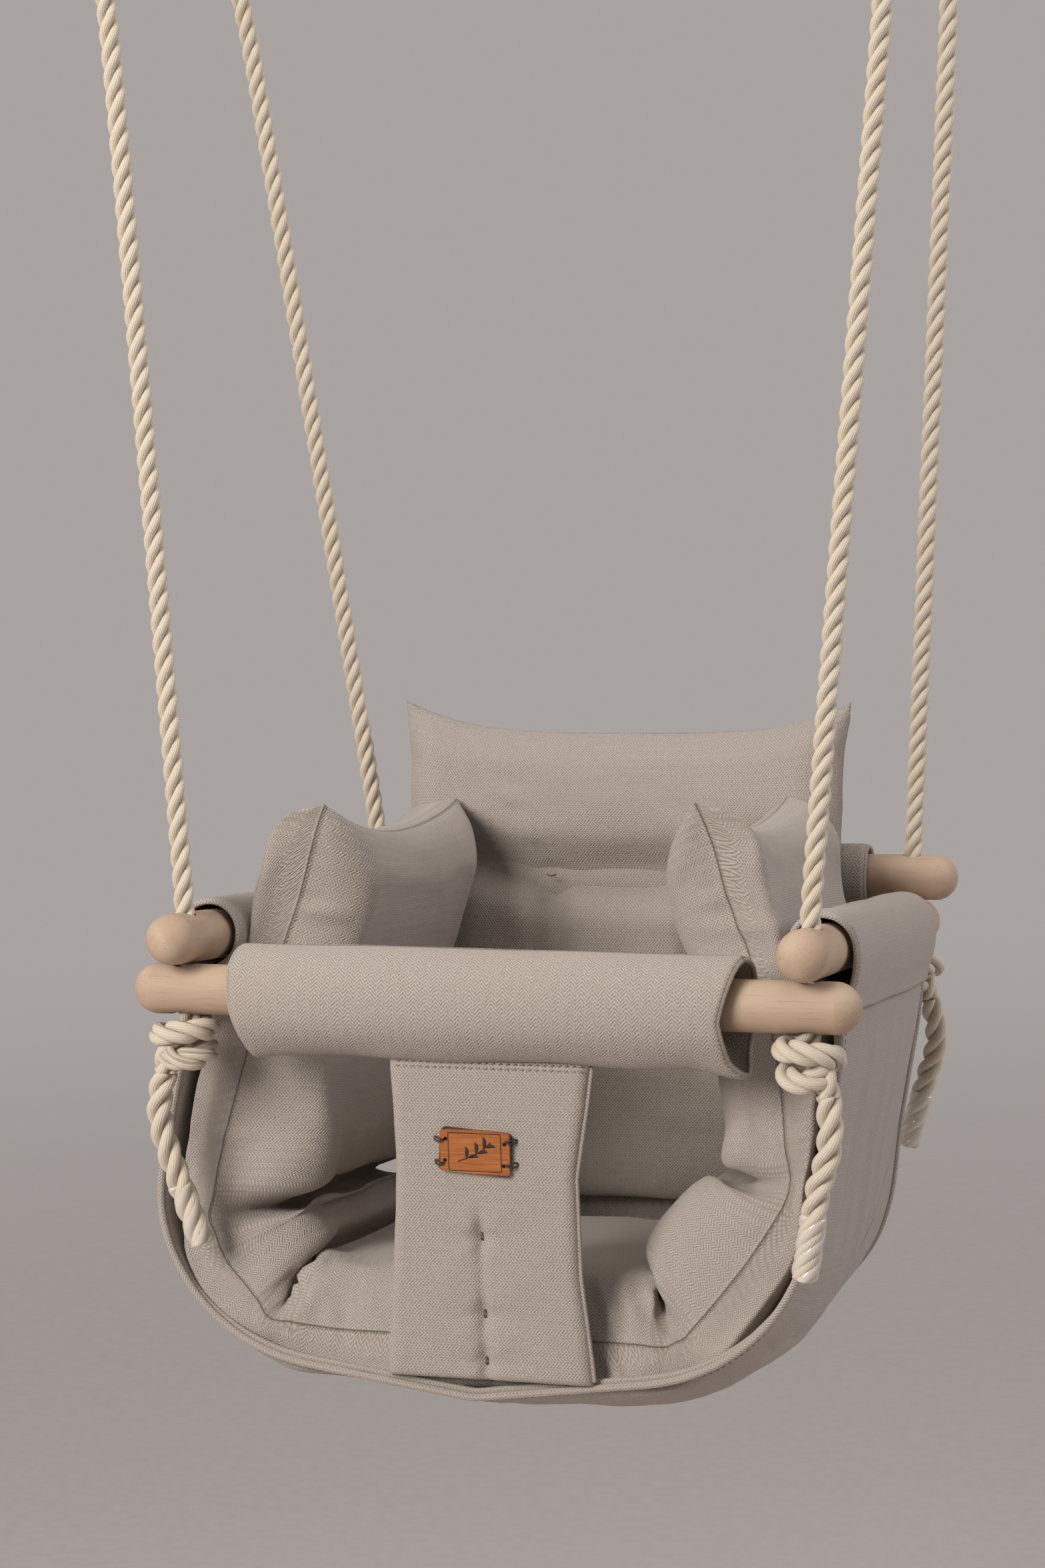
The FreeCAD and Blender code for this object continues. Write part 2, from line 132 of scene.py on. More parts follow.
def leaned(points, share=1.0):
    """The level drawing's points moved sideways by the lean, which grows below the dowels."""
    points = np.array(points, float)
    points[..., 0] += share * LEAN_SHIFT * smooth(-points[..., 2] / LEAN_DEPTH)
    return points


def plumb(points):
    """Millimetres from the front dowel's axis (x, y, z) to metres of the frame."""
    return np.array(FRONT_AXIS) + np.asarray(points, float) * MM


def flow(points, count):
    """A smooth line of count points through a few given ones, evenly spaced (Catmull-Rom)."""
    points = np.asarray(points, float)
    padded = np.vstack([2 * points[0] - points[1], points, 2 * points[-1] - points[-2]])
    line = []
    for a, b, c, d in zip(padded, padded[1:], padded[2:], padded[3:]):
        for t in np.linspace(0, 1, 24, endpoint=False):
            line.append(
                0.5 * (2 * b + (c - a) * t + (2 * a - 5 * b + 4 * c - d) * t**2)
                + 0.5 * (3 * b - a - 3 * c + d) * t**3
            )
    return spaced(np.array(line + [points[-1]]), count)


def spaced(line, count):
    """The same line as count evenly spaced points."""
    steps = np.linalg.norm(np.diff(line[:, :3] if line.shape[1] > 2 else line, axis=0), axis=1)
    along = np.concatenate([[0], np.cumsum(steps)])
    even = np.linspace(0, along[-1], count)
    return np.stack([np.interp(even, along, column) for column in line.T], axis=1)


def lengths(line):
    return np.concatenate([[0], np.cumsum(np.linalg.norm(np.diff(line, axis=0), axis=1))])


def unit(vectors):
    return vectors / np.linalg.norm(vectors, axis=-1, keepdims=True)


def ripple(place, scale, seed):
    """Gentle noise from about -1 to 1 at a point, for hand-made unevenness."""
    return noise.noise(Vector(place) * scale + Vector((seed, seed * 1.7, seed * 0.3)))


# Meshes.


def mesh_object(name, points, faces, uvs=None):
    mesh = bpy.data.meshes.new(name)
    mesh.from_pydata([tuple(p) for p in points], [], [tuple(f) for f in faces])
    mesh.validate()
    if uvs is not None:
        layer = mesh.uv_layers.new(name="cloth")
        corner = np.zeros(len(mesh.loops), np.int32)
        mesh.loops.foreach_get("vertex_index", corner)
        layer.data.foreach_set("uv", np.asarray(uvs, np.float32)[corner].ravel())
    mesh.polygons.foreach_set("use_smooth", [True] * len(mesh.polygons))
    piece = bpy.data.objects.new(name, mesh)
    bpy.context.scene.collection.objects.link(piece)
    return piece


def grid_faces(rows, columns, flip=False, wrap=False):
    """Quads of a grid of points; wrap joins the last column to the first."""
    faces = []
    for i in range(rows - 1):
        for j in range(columns if wrap else columns - 1):
            a = i * columns + j
            b = i * columns + (j + 1) % columns
            face = (a, b, b + columns, a + columns)
            faces.append(face[::-1] if flip else face)
    return faces


def sheet_object(name, points, uvs, outward=-1, **shape):
    """Grid of points as one sewn cloth; outward is 1 for thickness on its normals' side, -1 for the other."""
    faces = grid_faces(*points.shape[:2], **shape)
    piece = mesh_object(name, points.reshape(-1, 3), faces, uvs.reshape(-1, 2))
    solid = piece.modifiers.new("Thickness", "SOLIDIFY")
    solid.thickness = FABRIC * MM
    solid.offset = outward
    return refine(piece)


def refine(piece):
    """Smooths a piece by one subdivision."""
    divide = piece.modifiers.new("Subdivision", "SUBSURF")
    divide.levels = 1
    divide.render_levels = 1
    return piece


def add_value(piece, name, values):
    data = piece.data.attributes.new(name, "FLOAT", "POINT")
    data.data.foreach_set("value", np.asarray(values, np.float32))


def apply_modifiers(piece):
    """Makes what the modifiers show the piece's own mesh."""
    shown = piece.evaluated_get(bpy.context.evaluated_depsgraph_get())
    mesh = bpy.data.meshes.new_from_object(shown)
    old = piece.data
    piece.modifiers.clear()
    piece.data = mesh
    bpy.data.meshes.remove(old)
    mesh.name = piece.name


def vertex_vectors(mesh, kind):
    """A mesh's places ("co") or normals ("normal"), one row per vertex."""
    vectors = np.zeros(len(mesh.vertices) * 3, np.float32)
    mesh.vertices.foreach_get(kind, vectors)
    return vectors.reshape(-1, 3).astype(float)


def points_of(piece):
    return vertex_vectors(piece.data, "co")


def set_points(piece, points):
    piece.data.vertices.foreach_set("co", np.asarray(points, np.float32).ravel())
    piece.data.update()


def normals_of(piece):
    return vertex_vectors(piece.data, "normal")


def frames_along(line):
    """Tangent and two side directions at each point of a line, turning no more than the line does."""
    tangents = unit(np.gradient(line, axis=0))
    sides = [unit(np.cross(tangents[0], [0, 1, 0] if abs(tangents[0][1]) < 0.9 else [1, 0, 0]))]
    for tangent in tangents[1:]:
        sides.append(unit(sides[-1] - tangent * np.dot(sides[-1], tangent)))
    sides = np.array(sides)
    return tangents, sides, np.cross(tangents, sides)


def tube_arrays(line, radius, around=10):
    """Points, faces and UVs of a round tube along a line; radius in metres, one or one per point."""
    _, side, other = frames_along(line)
    radius = np.broadcast_to(radius, len(line))[:, None, None]
    angles = np.linspace(0, 2 * math.pi, around, endpoint=False)
    ring = np.cos(angles)[None, :, None] * side[:, None] + np.sin(angles)[None, :, None] * other[:, None]
    points = (line[:, None] + ring * radius).reshape(-1, 3)
    return points, tube_faces(len(line), around), tube_uvs(line, around, radius.mean() / MM)


def tube_faces(rings, around):
    faces = grid_faces(rings, around, flip=True, wrap=True)
    faces.append(tuple(range(around)))
    faces.append(tuple(range(rings * around - 1, (rings - 1) * around - 1, -1)))
    return faces


def tube_uvs(line, around, radius):
    """Millimetres round and along a tube."""
    across = np.arange(around) / around * 2 * math.pi * radius
    along = lengths(line) / MM
    return np.stack(np.meshgrid(across, along), axis=-1).reshape(-1, 2)


def bundle(name, parts):
    """One object from several sets of (points, faces, uvs)."""
    points = []
    faces = []
    uvs = []
    start = 0
    for part_points, part_faces, part_uvs in parts:
        points.append(np.asarray(part_points))
        uvs.append(np.asarray(part_uvs))
        faces += [tuple(start + v for v in face) for face in part_faces]
        start += len(part_points)
    return mesh_object(name, np.concatenate(points), faces, np.concatenate(uvs))


def tube_object(name, line, radius, around):
    return bundle(name, [tube_arrays(line, radius, around)])


def add_rims(name, lines, radius):
    """Rolled edges of a cloth along lines in metres."""
    rims = [tube_arrays(line, radius * MM, around=8) for line in lines]
    return dress(refine(bundle(name, rims)), "fabric", "shell_fabric")


def stitch_row(line, outward, pitch=4.4, length=2.7, radius=0.42):
    """Short threads along a seam line, each dipping into the cloth at both ends."""
    long = lengths(line)[-1]
    parts = []
    for step in range(int(long / (pitch * MM))):
        start = (step + 0.2) * pitch * MM / long
        end = start + length * MM / long
        ratio = np.linspace(start, end, 5)
        along = lengths(line) / long
        thread = np.stack([np.interp(ratio, along, column) for column in line.T], axis=1)
        lift = np.stack([np.interp(ratio, along, column) for column in outward.T], axis=1)
        thread += lift * (np.sin(np.linspace(0, math.pi, 5)) * radius * 1.1 - radius * 0.6)[:, None] * MM
        parts.append(tube_arrays(thread, radius * MM, around=6))
    return parts


# Material nodes.


def scaled(colour, factors):
    """A colour with each channel multiplied by one factor, or by its own."""
    return tuple(np.array(colour) * factors)


class Recipe:
    """A material's node tree with short ways to add and join nodes."""

    def __init__(self, name, roughness=0.8):
        self.material = bpy.data.materials.new(name)
        self.material.use_nodes = True
        self.tree = self.material.node_tree
        self.shader = self.tree.nodes["Principled BSDF"]
        self.shader.inputs["Roughness"].default_value = roughness

    def shade(self, values):
        for name, value in values.items():
            self.shader.inputs[name].default_value = value

    def add(self, kind, **inputs):
        node = self.tree.nodes.new("ShaderNode" + kind)
        for name, value in inputs.items():
            if hasattr(node, name):
                setattr(node, name, value)
            else:
                self.set(node, name.replace("_", " ").title(), value)
        return node

    def set(self, node, key, value):
        socket = node.inputs[key]
        if isinstance(value, bpy.types.NodeSocket):
            self.tree.links.new(value, socket)
        else:
            socket.default_value = value

    def math(self, operation, a, b=0.0):
        node = self.add("Math", operation=operation)
        self.set(node, 0, a)
        self.set(node, 1, b)
        return node.outputs[0]

    def blend_colours(self, share, low, high):
        node = self.add("Mix", data_type="RGBA")
        self.set(node, 0, share)
        for index, value in ((6, low), (7, high)):
            colour = value if isinstance(value, bpy.types.NodeSocket) else (*value, 1)
            self.set(node, index, colour)
        return node.outputs[2]

    def ramp(self, value, low, high):
        """0 below low and 1 above high, with a smooth way between."""
        node = self.add("MapRange", interpolation_type="SMOOTHSTEP")
        self.set(node, "Value", value)
        self.set(node, "From Min", low)
        self.set(node, "From Max", high)
        return node.outputs[0]

    def tint(self, tone, value, low, high, share, colour):
        """The tone moved a share of the way to a colour where a value is high."""
        return self.blend_colours(self.math("MULTIPLY", self.ramp(value, low, high), share), tone, colour)

    def noise(self, place, scale, detail=3.0, stretch=None):
        if stretch:
            mapping = self.add("Mapping")
            self.set(mapping, "Vector", place)
            self.set(mapping, "Scale", stretch)
            place = mapping.outputs[0]
        node = self.add("TexNoise")
        self.set(node, "Vector", place)
        self.set(node, "Scale", scale)
        self.set(node, "Detail", detail)
        return node.outputs["Fac"]

    def bump(self, height, distance, strength=1.0, below=None):
        node = self.add("Bump")
        self.set(node, "Height", height)
        self.set(node, "Distance", distance)
        self.set(node, "Strength", strength)
        if below:
            self.set(node, "Normal", below)
        return node.outputs[0]

    def object_place(self):
        return self.add("TexCoord").outputs["Object"]

    def cloth_place(self):
        """Across and along the cloth, in millimetres."""
        place = self.add("UVMap", uv_map="cloth").outputs[0]
        split = self.add("SeparateXYZ")
        self.set(split, 0, place)
        return split.outputs[0], split.outputs[1]

    def finish(self, colour, bump):
        self.set(self.shader, "Base Color", colour)
        self.set(self.shader, "Normal", bump)
        return self.material


NO_SEAM = 50.0  # millimetres to the nearest seam on pieces that have none drawn
WEAVE_PITCH = 2.1  # millimetres from one diagonal rib to the next
WEAVE_COLUMN = 3.3  # width of a herringbone column


def fabric_material(name, light, dark):
    """Warm grey upholstery cloth in a small broken herringbone, with soft pile and dark seam lines."""
    r = Recipe(name, roughness=0.92)
    r.shade({"Sheen Weight": 0.15, "Sheen Roughness": 0.5, "Sheen Tint": (0.95, 0.90, 0.85, 1)})
    r.shade({"Specular IOR Level": 0.25})
    place = r.object_place()
    across, along = r.cloth_place()
    wobble = r.math("MULTIPLY", r.noise(place, 260.0), 0.9)
    column = r.math("PINGPONG", r.math("ADD", across, wobble), WEAVE_COLUMN)
    diagonal = r.math("ADD", column, r.math("ADD", along, wobble))
    rib = r.math("SINE", r.math("MULTIPLY", diagonal, 2 * math.pi / WEAVE_PITCH))
    weft = r.math("SINE", r.math("MULTIPLY", across, 2 * math.pi / (WEAVE_COLUMN / 2)))
    weave = r.math("ADD", r.math("MULTIPLY", rib, 0.62), r.math("MULTIPLY", weft, 0.2))
    fuzz = r.noise(place, 900.0, 2.0)
    yarn = r.math("ADD", r.math("ADD", weave, 0.55), r.math("MULTIPLY", r.math("SUBTRACT", fuzz, 0.5), 1.4))
    colour = r.blend_colours(r.ramp(yarn, -0.15, 1.0), dark, light)
    patches = r.noise(place, 9.0, 4.0)
    colour = r.tint(colour, patches, 0.42, 0.72, 0.22, scaled(light, (0.90, 0.86, 0.80)))
    seam = r.math("ABSOLUTE", r.add("Attribute", attribute_name="seam").outputs["Fac"])
    away = r.ramp(seam, 0.15, 0.9)
    colour = r.blend_colours(away, scaled(dark, 0.5), colour)
    woven = r.bump(yarn, 0.00034, 0.7)
    groove = r.bump(r.ramp(seam, 0.0, 2.4), 0.0009, 0.9, woven)
    return r.finish(colour, groove)


def cotton_material(name, colour=COTTON, gloss=False):
    """Twisted cotton: fine yarns along the strand, fuzzy and slightly uneven in colour, with painted shade
    between the yarns.
    """
    r = Recipe(name, roughness=0.88)
    r.shade({"Sheen Weight": 0.25, "Sheen Roughness": 0.45})
    r.shade({"Subsurface Weight": 0.08, "Subsurface Radius": (0.004, 0.003, 0.002)})
    place = r.object_place()
    across, along = r.cloth_place()
    drift = r.noise(place, 120.0, 2.0)
    yarns = r.math("ADD", r.math("MULTIPLY", across, 16.0), r.math("MULTIPLY", along, 0.05))
    lines = r.math("SINE", r.math("MULTIPLY", r.math("ADD", yarns, drift), 2 * math.pi))
    fuzz = r.noise(place, 1500.0, 2.0)
    height = r.math("ADD", r.math("MULTIPLY", lines, 0.25), fuzz)
    # Painted shade: where the bump's height is low, between the yarns, the cotton is drawn up to 14% darker.
    shade = r.ramp(height, 0.05, 0.75)
    tone = r.blend_colours(shade, scaled(colour, 0.86), colour)
    tone = r.tint(tone, r.noise(place, 30.0), 0.45, 0.75, 0.35, scaled(colour, (0.97, 0.90, 0.78)))
    if gloss:
        r.shade({"Roughness": 0.16, "Sheen Weight": 0.0, "Coat Weight": 0.8, "Coat Roughness": 0.06})
        return r.finish(tone, r.bump(r.noise(place, 160.0), 0.0004, 0.4))
    return r.finish(tone, r.bump(height, 0.00035, 0.8))


def beech_material(name, lengthwise):
    """Sanded beech: pale, with fine flecks along the grain."""
    r = Recipe(name, roughness=0.62)
    r.shade({"Specular IOR Level": 0.35})
    place = r.object_place()
    stretch = tuple(0.05 if axis == lengthwise else 1.0 for axis in "xyz")
    flecks = r.noise(place, 900.0, 3.0, stretch)
    bands = r.noise(place, 70.0, 4.0, stretch)
    clouds = r.noise(place, 14.0, 3.0, tuple(0.3 if axis == lengthwise else 1.0 for axis in "xyz"))
    tone = r.blend_colours(r.ramp(bands, 0.3, 0.7), (0.435, 0.305, 0.212), (0.505, 0.375, 0.272))
    tone = r.tint(tone, clouds, 0.4, 0.7, 0.5, (0.475, 0.33, 0.24))
    tone = r.tint(tone, flecks, 0.58, 0.72, 0.45, (0.30, 0.19, 0.12))
    return r.finish(tone, r.bump(flecks, 0.00012, 0.6))


# Camera, light and floor.


def add_camera():
    azimuth = math.radians(CAMERA_AZIMUTH)
    down = math.radians(CAMERA_DOWN)
    roll = math.radians(CAMERA_ROLL)
    back = Vector((math.sin(azimuth) * math.cos(down), -math.cos(azimuth) * math.cos(down), math.sin(down)))
    across = Vector((math.cos(azimuth), math.sin(azimuth), 0))
    upward = back.cross(across)
    right = across * math.cos(roll) + upward * math.sin(roll)
    lens = bpy.data.cameras.new("camera")
    lens.lens = CAMERA_LENS
    lens.sensor_width = 36
    camera = bpy.data.objects.new("camera", lens)
    turn = Matrix((right, back.cross(right), back)).transposed()
    camera.matrix_world = Matrix.Translation(CAMERA_PLACE) @ turn.to_4x4()
    bpy.context.scene.collection.objects.link(camera)
    bpy.context.scene.camera = camera


def add_area_light(name, place, size, watts, colour):
    lamp = bpy.data.lights.new(name, "AREA")
    lamp.shape = "DISK"
    lamp.size = size
    lamp.energy = watts
    lamp.color = colour
    light = bpy.data.objects.new(name, lamp)
    light.location = place
    aim = Vector(STUDIO_AIM) - Vector(place)
    light.rotation_mode = "QUATERNION"
    light.rotation_quaternion = aim.to_track_quat("-Z", "Y")
    bpy.context.scene.collection.objects.link(light)


def add_studio():
    scene = bpy.context.scene
    scene.view_settings.view_transform = "Standard"
    world = bpy.data.worlds.new("studio")
    world.use_nodes = True
    paint_world(world)
    scene.world = world
    add_area_light("key", (-1.2, -2.5, 0.75), 1.5, 92, (1.0, 0.975, 0.94))
    add_area_light("top", (0.3, -0.3, 2.2), 1.6, 17, (1.0, 0.985, 0.96))
    add_area_light("rim", (2.1, 0.6, 0.5), 1.5, 22, (0.93, 0.95, 1.0))
    add_floor()


def paint_world(world):
    """Pale all round, dimmer in front of the swing, so that the inside of the seat falls into shade."""
    tree = world.node_tree
    place = tree.nodes.new("ShaderNodeTexCoord")
    split = tree.nodes.new("ShaderNodeSeparateXYZ")
    fade = tree.nodes.new("ShaderNodeMapRange")
    mix = tree.nodes.new("ShaderNodeMix")
    fade.interpolation_type = "SMOOTHSTEP"
    fade.inputs["From Min"].default_value = DIMMING_RANGE[0]
    fade.inputs["From Max"].default_value = DIMMING_RANGE[1]
    mix.data_type = "RGBA"
    mix.inputs[6].default_value = (*scaled(PALE, FRONT_DIMMING), 1)
    mix.inputs[7].default_value = (*PALE, 1)
    tree.links.new(place.outputs["Generated"], split.inputs[0])
    tree.links.new(split.outputs[1], fade.inputs["Value"])
    tree.links.new(fade.outputs[0], mix.inputs[0])
    tree.links.new(mix.outputs[2], tree.nodes["Background"].inputs["Color"])


def add_floor():
    """Plain pale floor under the swing, running out into the pale studio round it."""
    centre = (FRONT_AXIS + BACK_AXIS) / 2
    bpy.ops.mesh.primitive_circle_add(
        vertices=96, radius=FLOOR_RADIUS, fill_type="NGON", location=(centre.x, centre.y, FLOOR_HEIGHT)
    )
    floor = bpy.context.object
    floor.name = "floor"
    r = Recipe("pale_floor", roughness=0.9)
    near = r.add("VectorMath", operation="LENGTH")
    r.set(near, 0, r.object_place())
    fade = r.ramp(near.outputs["Value"], 1.2, 5.0)
    speckle = r.noise(r.object_place(), 60.0)
    tone = r.blend_colours(r.ramp(speckle, 0.2, 0.8), (0.53, 0.485, 0.475), (0.565, 0.52, 0.508))
    r.set(r.shader, "Base Color", tone)
    r.shade({"Specular IOR Level": 0.1})
    split = r.add("SeparateXYZ")
    r.set(split, 0, r.object_place())
    turn = r.math("DIVIDE", split.outputs[1], near.outputs["Value"])
    glow = r.add("Emission")
    dimmed = scaled(PALE, FRONT_DIMMING)
    r.set(glow, "Color", r.blend_colours(r.ramp(turn, *DIMMING_RANGE), dimmed, PALE))
    mixed = r.add("MixShader")
    r.set(mixed, 0, fade)
    r.set(mixed, 1, r.shader.outputs[0])
    r.set(mixed, 2, glow.outputs[0])
    r.tree.links.new(mixed.outputs[0], r.tree.nodes["Material Output"].inputs["Surface"])
    floor.data.materials.append(r.material)


# Ropes, knots and tails.


def centreline(route):
    """The smooth NURBS line of a cord's given route, in metres."""
    curve = bpy.data.curves.new("route", "CURVE")
    curve.dimensions = "3D"
    curve.resolution_u = 16
    spline = curve.splines.new("NURBS")
    spline.points.add(len(route) - 1)
    for point, place in zip(spline.points, route):
        point.co = (*place, 1)
    spline.order_u = 3
    spline.use_endpoint_u = True
    holder = bpy.data.objects.new("route", curve)
    bpy.context.scene.collection.objects.link(holder)
    mesh = bpy.data.meshes.new_from_object(holder)
    line = np.array([v.co for v in mesh.vertices], float)
    bpy.data.objects.remove(holder)
    bpy.data.curves.remove(curve)
    bpy.data.meshes.remove(mesh)
    return line


STRAND_OFFSET = 0.262  # of the rope's diameter, from its middle to each strand's
STRAND_HEIGHT = 0.232
STRAND_WIDTH = 0.262


def rope_object(name, line, diameter, start_turn=0.0, step=2.2, swell=0.0, lay=ROPE_LAY):
    """Three strands laid right-handed along a line; the UV runs round and along each strand."""
    line = spaced(line, max(8, int(lengths(line)[-1] / (step * MM))))
    along = lengths(line) / MM
    _, side, other = frames_along(line)
    sides = 12
    lay = lay * (1 + 0.03 * np.sin(along / 61 + start_turn))
    strands = []
    for strand in range(3):
        turn = start_turn + 2 * math.pi * (strand / 3 + np.cumsum(np.gradient(along) / lay))
        outward = np.cos(turn)[:, None] * side + np.sin(turn)[:, None] * other
        sideways = np.cos(turn)[:, None] * other - np.sin(turn)[:, None] * side
        centre = line + outward * diameter * STRAND_OFFSET
        rings = []
        for index in range(sides):
            angle = 2 * math.pi * index / sides - turn
            high = np.cos(angle) * (STRAND_HEIGHT * diameter + swell)
            wide = np.sin(angle) * (STRAND_WIDTH * diameter + swell)
            rings.append(centre + outward * high[:, None] + sideways * wide[:, None])
        points = np.stack(rings, axis=1).reshape(-1, 3)
        uvs = np.stack(np.meshgrid(np.arange(sides) / sides, along), axis=-1).reshape(-1, 2)
        strands.append((points, tube_faces(len(line), sides), uvs))
    return refine(bundle(name, strands))


# The eye round the ring's wire: up along the rope from the wire's middle, and sideways.
EYE = [
    (-112, 0), (-78, 7.3), (-38, 7.6), (-14, 17), (4, 18.5), (12, 10), (12, -10), (4, -18.5), (-14, -17),
    (-38, -7.6), (-69, -7.3),
]  # fmt: skip


def rope_route(name, end, sign):
    """From inside the upper dowel's hole, up past the pivot, over the ring's wire and back."""
    joint = {j["name"]: j for j in frame["record"]["behaviour"]["joints"]}
    pivot = joint["seat_tilt" if end == "front" else "back_rope_swing"]["pos_m"]
    foot = Vector((sign * middle("right_dowel").x, pivot[1], pivot[2]))
    low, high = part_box(name + "_ring")
    wire = high.y - low.y
    top = Vector(((low.x + high.x) / 2, (low.y + high.y) / 2, low.z + wire / 2))
    span = top - foot
    length = span.length / MM
    up = span.normalized()
    side = up.cross(Vector((1, 0, 0))).normalized() * -1
    hole = Vector(UP_ALONG)
    steps = [(14, 0)] + [(length + u, v) for u, v in EYE]
    route = [foot - hole * 24 * MM, foot - hole * 6 * MM]
    return route + [foot + up * (u * MM) + side * (v * MM) for u, v in steps], foot, hole


def add_rope(name, end, sign):
    route, foot, hole = rope_route(name, end, sign)
    line = centreline(route)
    start_turn = 1.3 + sign + 0.8 * (end == "back")
    rope = rope_object("rope_" + name, line, ROPE_DIAMETER * MM, start_turn)
    rope.data.materials.append(materials["cotton"])
    body = end + "_ropes"
    apply_modifiers(rope)
    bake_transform(rope)
    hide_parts(name + "_rope")
    whipping = add_whipping(name, route)
    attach(whipping, body)


WHIPPING_TURNS = 11
WHIPPING_STEPS = 24  # points in one turn
TWINE = 2.1  # thickness


def add_whipping(name, route):
    """Twine wound round the eye's two legs, one turn below the other."""
    low, high = (Vector(v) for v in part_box(name + "_whipping"))
    up = (route[3] - route[2]).normalized()
    side = up.cross(Vector((1, 0, 0))).normalized() * -1
    across = side.cross(up)
    centre = (low + high) / 2
    legs = 7.45 * MM
    reach = (ROPE_DIAMETER / 2 + 1.1) * MM
    line = []
    for step in range(WHIPPING_TURNS * WHIPPING_STEPS + 1):
        angle = 2 * math.pi * step / WHIPPING_STEPS
        rise = (step / (WHIPPING_TURNS * WHIPPING_STEPS) - 0.5) * (WHIPPING_TURNS * TWINE) * MM
        shift = legs * max(-1, min(1, 3 * math.cos(angle)))
        ring = side * (shift + reach * math.cos(angle)) + across * (reach * math.sin(angle))
        line.append(centre + up * rise + ring)
    twine = tube_object("whipping_" + name, np.array(line), TWINE / 2 * MM, around=8)
    twine.data.materials.append(materials["twine"])
    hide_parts(name + "_whipping")
    return twine


# The stopper knot's route below the lower dowel's hole, for a right-hand knot, from inside the hole
# to the start of the tail: X outwards to the tail's side, Y to the back, Z up from the dowel's axis.
KNOT_ROUTE = [
    (0, 0, 6), (0, 0, -12), (-3, 6, -22), (-13, 6, -24), (-16, -6, -23), (-5, -16, -22), (10, -14, -24),
    (16, -2, -28), (10, 11, -33), (-4, 12, -36), (-14, 3, -38), (-12, -10, -39), (-1, -15, -40),
    (9, -10, -38), (9, 1, -34), (2, 3, -29), (5, -6, -30), (11, -8, -40), (11, -8, -50),
]  # fmt: skip

# Tails, measured plumb from the lower dowel's rope hole down to the start of the end sleeve.
TAILS = {
    "front_left": [(-11, -8, -48), (-17, -9, -66), (-15, -9, -86), (-10.5, -8, -103), (-6.5, -7, -117)],
    "front_right": [(11, -8, -48), (13, -9, -67), (10, -8.5, -86), (4, -7, -103), (1.5, -6.7, -118)],
    "back_left": [(-10, -5, -49), (-15, -1, -66), (-16, 3, -85), (-12, 6, -102), (-9, 7, -116)],
    "back_right": [(11, -5, -49), (15, 0, -67), (14, 4, -87), (8, 6, -104), (4, 6.5, -118)],
}
END_SLEEVE = 40.0


def add_knot_and_tail(name, end, sign):
    s = 0.0 if end == "front" else HOLE_SPACING_Y
    n = 0.0 if end == "front" else STACK_PITCH
    hole = level([sign * middle("right_dowel").x / MM, s, n])
    slack = SLACK_DIAMETER * MM
    knot_line = centreline([hole + np.array([sign * x, y, z]) * MM for x, y, z in KNOT_ROUTE])
    knot = rope_object("knot_" + name, knot_line, 0.95 * slack, start_turn=0.6, lay=SLACK_LAY)
    tail_points = [hole + np.array(step) * MM for step in TAILS[name]]
    run = tail_points[-1] - tail_points[-2]
    tip = tail_points[-1] + run / np.linalg.norm(run) * END_SLEEVE * MM
    line = centreline(tail_points + [tip])
    tail = rope_object("tail_" + name, line, slack, start_turn=2.0 + sign, lay=SLACK_LAY)
    even = spaced(line, 60)
    along = lengths(even)
    covered = even[along > along[-1] - (END_SLEEVE + 1) * MM]
    sleeve = rope_object("end_sleeve_" + name, covered, slack, swell=0.0005, lay=SLACK_LAY)
    for piece, node, slot, material in (
        (knot, "_knot", "cotton_rope", "cotton"),
        (tail, "_tail", "cotton_rope", "cotton"),
        (sleeve, "_end_sleeve", "clear_sleeve", "sealed_rope"),
    ):
        piece.data.materials.append(materials[material])
        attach(piece, "seat")
        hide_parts(name + node)


def add_ropes():
    for end in ENDS:
        for side, sign in SIDES.items():
            add_rope(end + "_" + side, end, sign)
            add_knot_and_tail(end + "_" + side, end, sign)


# Materials that several pieces share.


def steel_material():
    """Zinc-plated wire, slightly hazy."""
    r = Recipe("zinc_steel", roughness=0.32)
    r.shade({"Metallic": 1.0})
    place = r.object_place()
    haze = r.noise(place, 180.0)
    tone = r.blend_colours(haze, (0.52, 0.52, 0.53), (0.68, 0.68, 0.67))
    return r.finish(tone, r.bump(r.noise(place, 700.0), 0.00006, 0.5))


def plain_material(name, colour, roughness):
    """One colour with a fine grain, for threads and burnt lines."""
    r = Recipe(name, roughness=roughness)
    place = r.object_place()
    grain = r.noise(place, 1400.0)
    tone = r.blend_colours(r.ramp(grain, 0.3, 0.7), scaled(colour, 0.75), colour)
    return r.finish(tone, r.bump(grain, 0.00012, 0.7))


def label_material():
    """Orange-brown veneer with a dark burnt edge."""
    r = Recipe("label_veneer", roughness=0.42)
    low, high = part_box("label_plate")
    place = r.object_place()
    split = r.add("SeparateXYZ")
    r.set(split, 0, place)
    inside = []
    for axis, index in ((split.outputs[0], 0), (split.outputs[2], 2)):
        half = (high[index] - low[index]) / 2
        from_middle = r.math("ABSOLUTE", r.math("SUBTRACT", axis, (high[index] + low[index]) / 2))
        inside.append(r.math("SUBTRACT", half, from_middle))
    edge = r.math("MINIMUM", inside[0], inside[1])
    uneven = r.math("MULTIPLY", r.math("SUBTRACT", r.noise(place, 500.0), 0.5), 0.0012)
    rim = r.ramp(r.math("ADD", edge, uneven), 0.0002, 0.0017)
    grain = r.noise(place, 800.0, 3.0, (0.05, 1.0, 1.0))
    tone = r.blend_colours(r.ramp(grain, 0.35, 0.65), (0.30, 0.085, 0.018), (0.44, 0.145, 0.036))
    tone = r.blend_colours(rim, (0.03, 0.013, 0.007), tone)
    return r.finish(tone, r.bump(grain, 0.0001, 0.7))


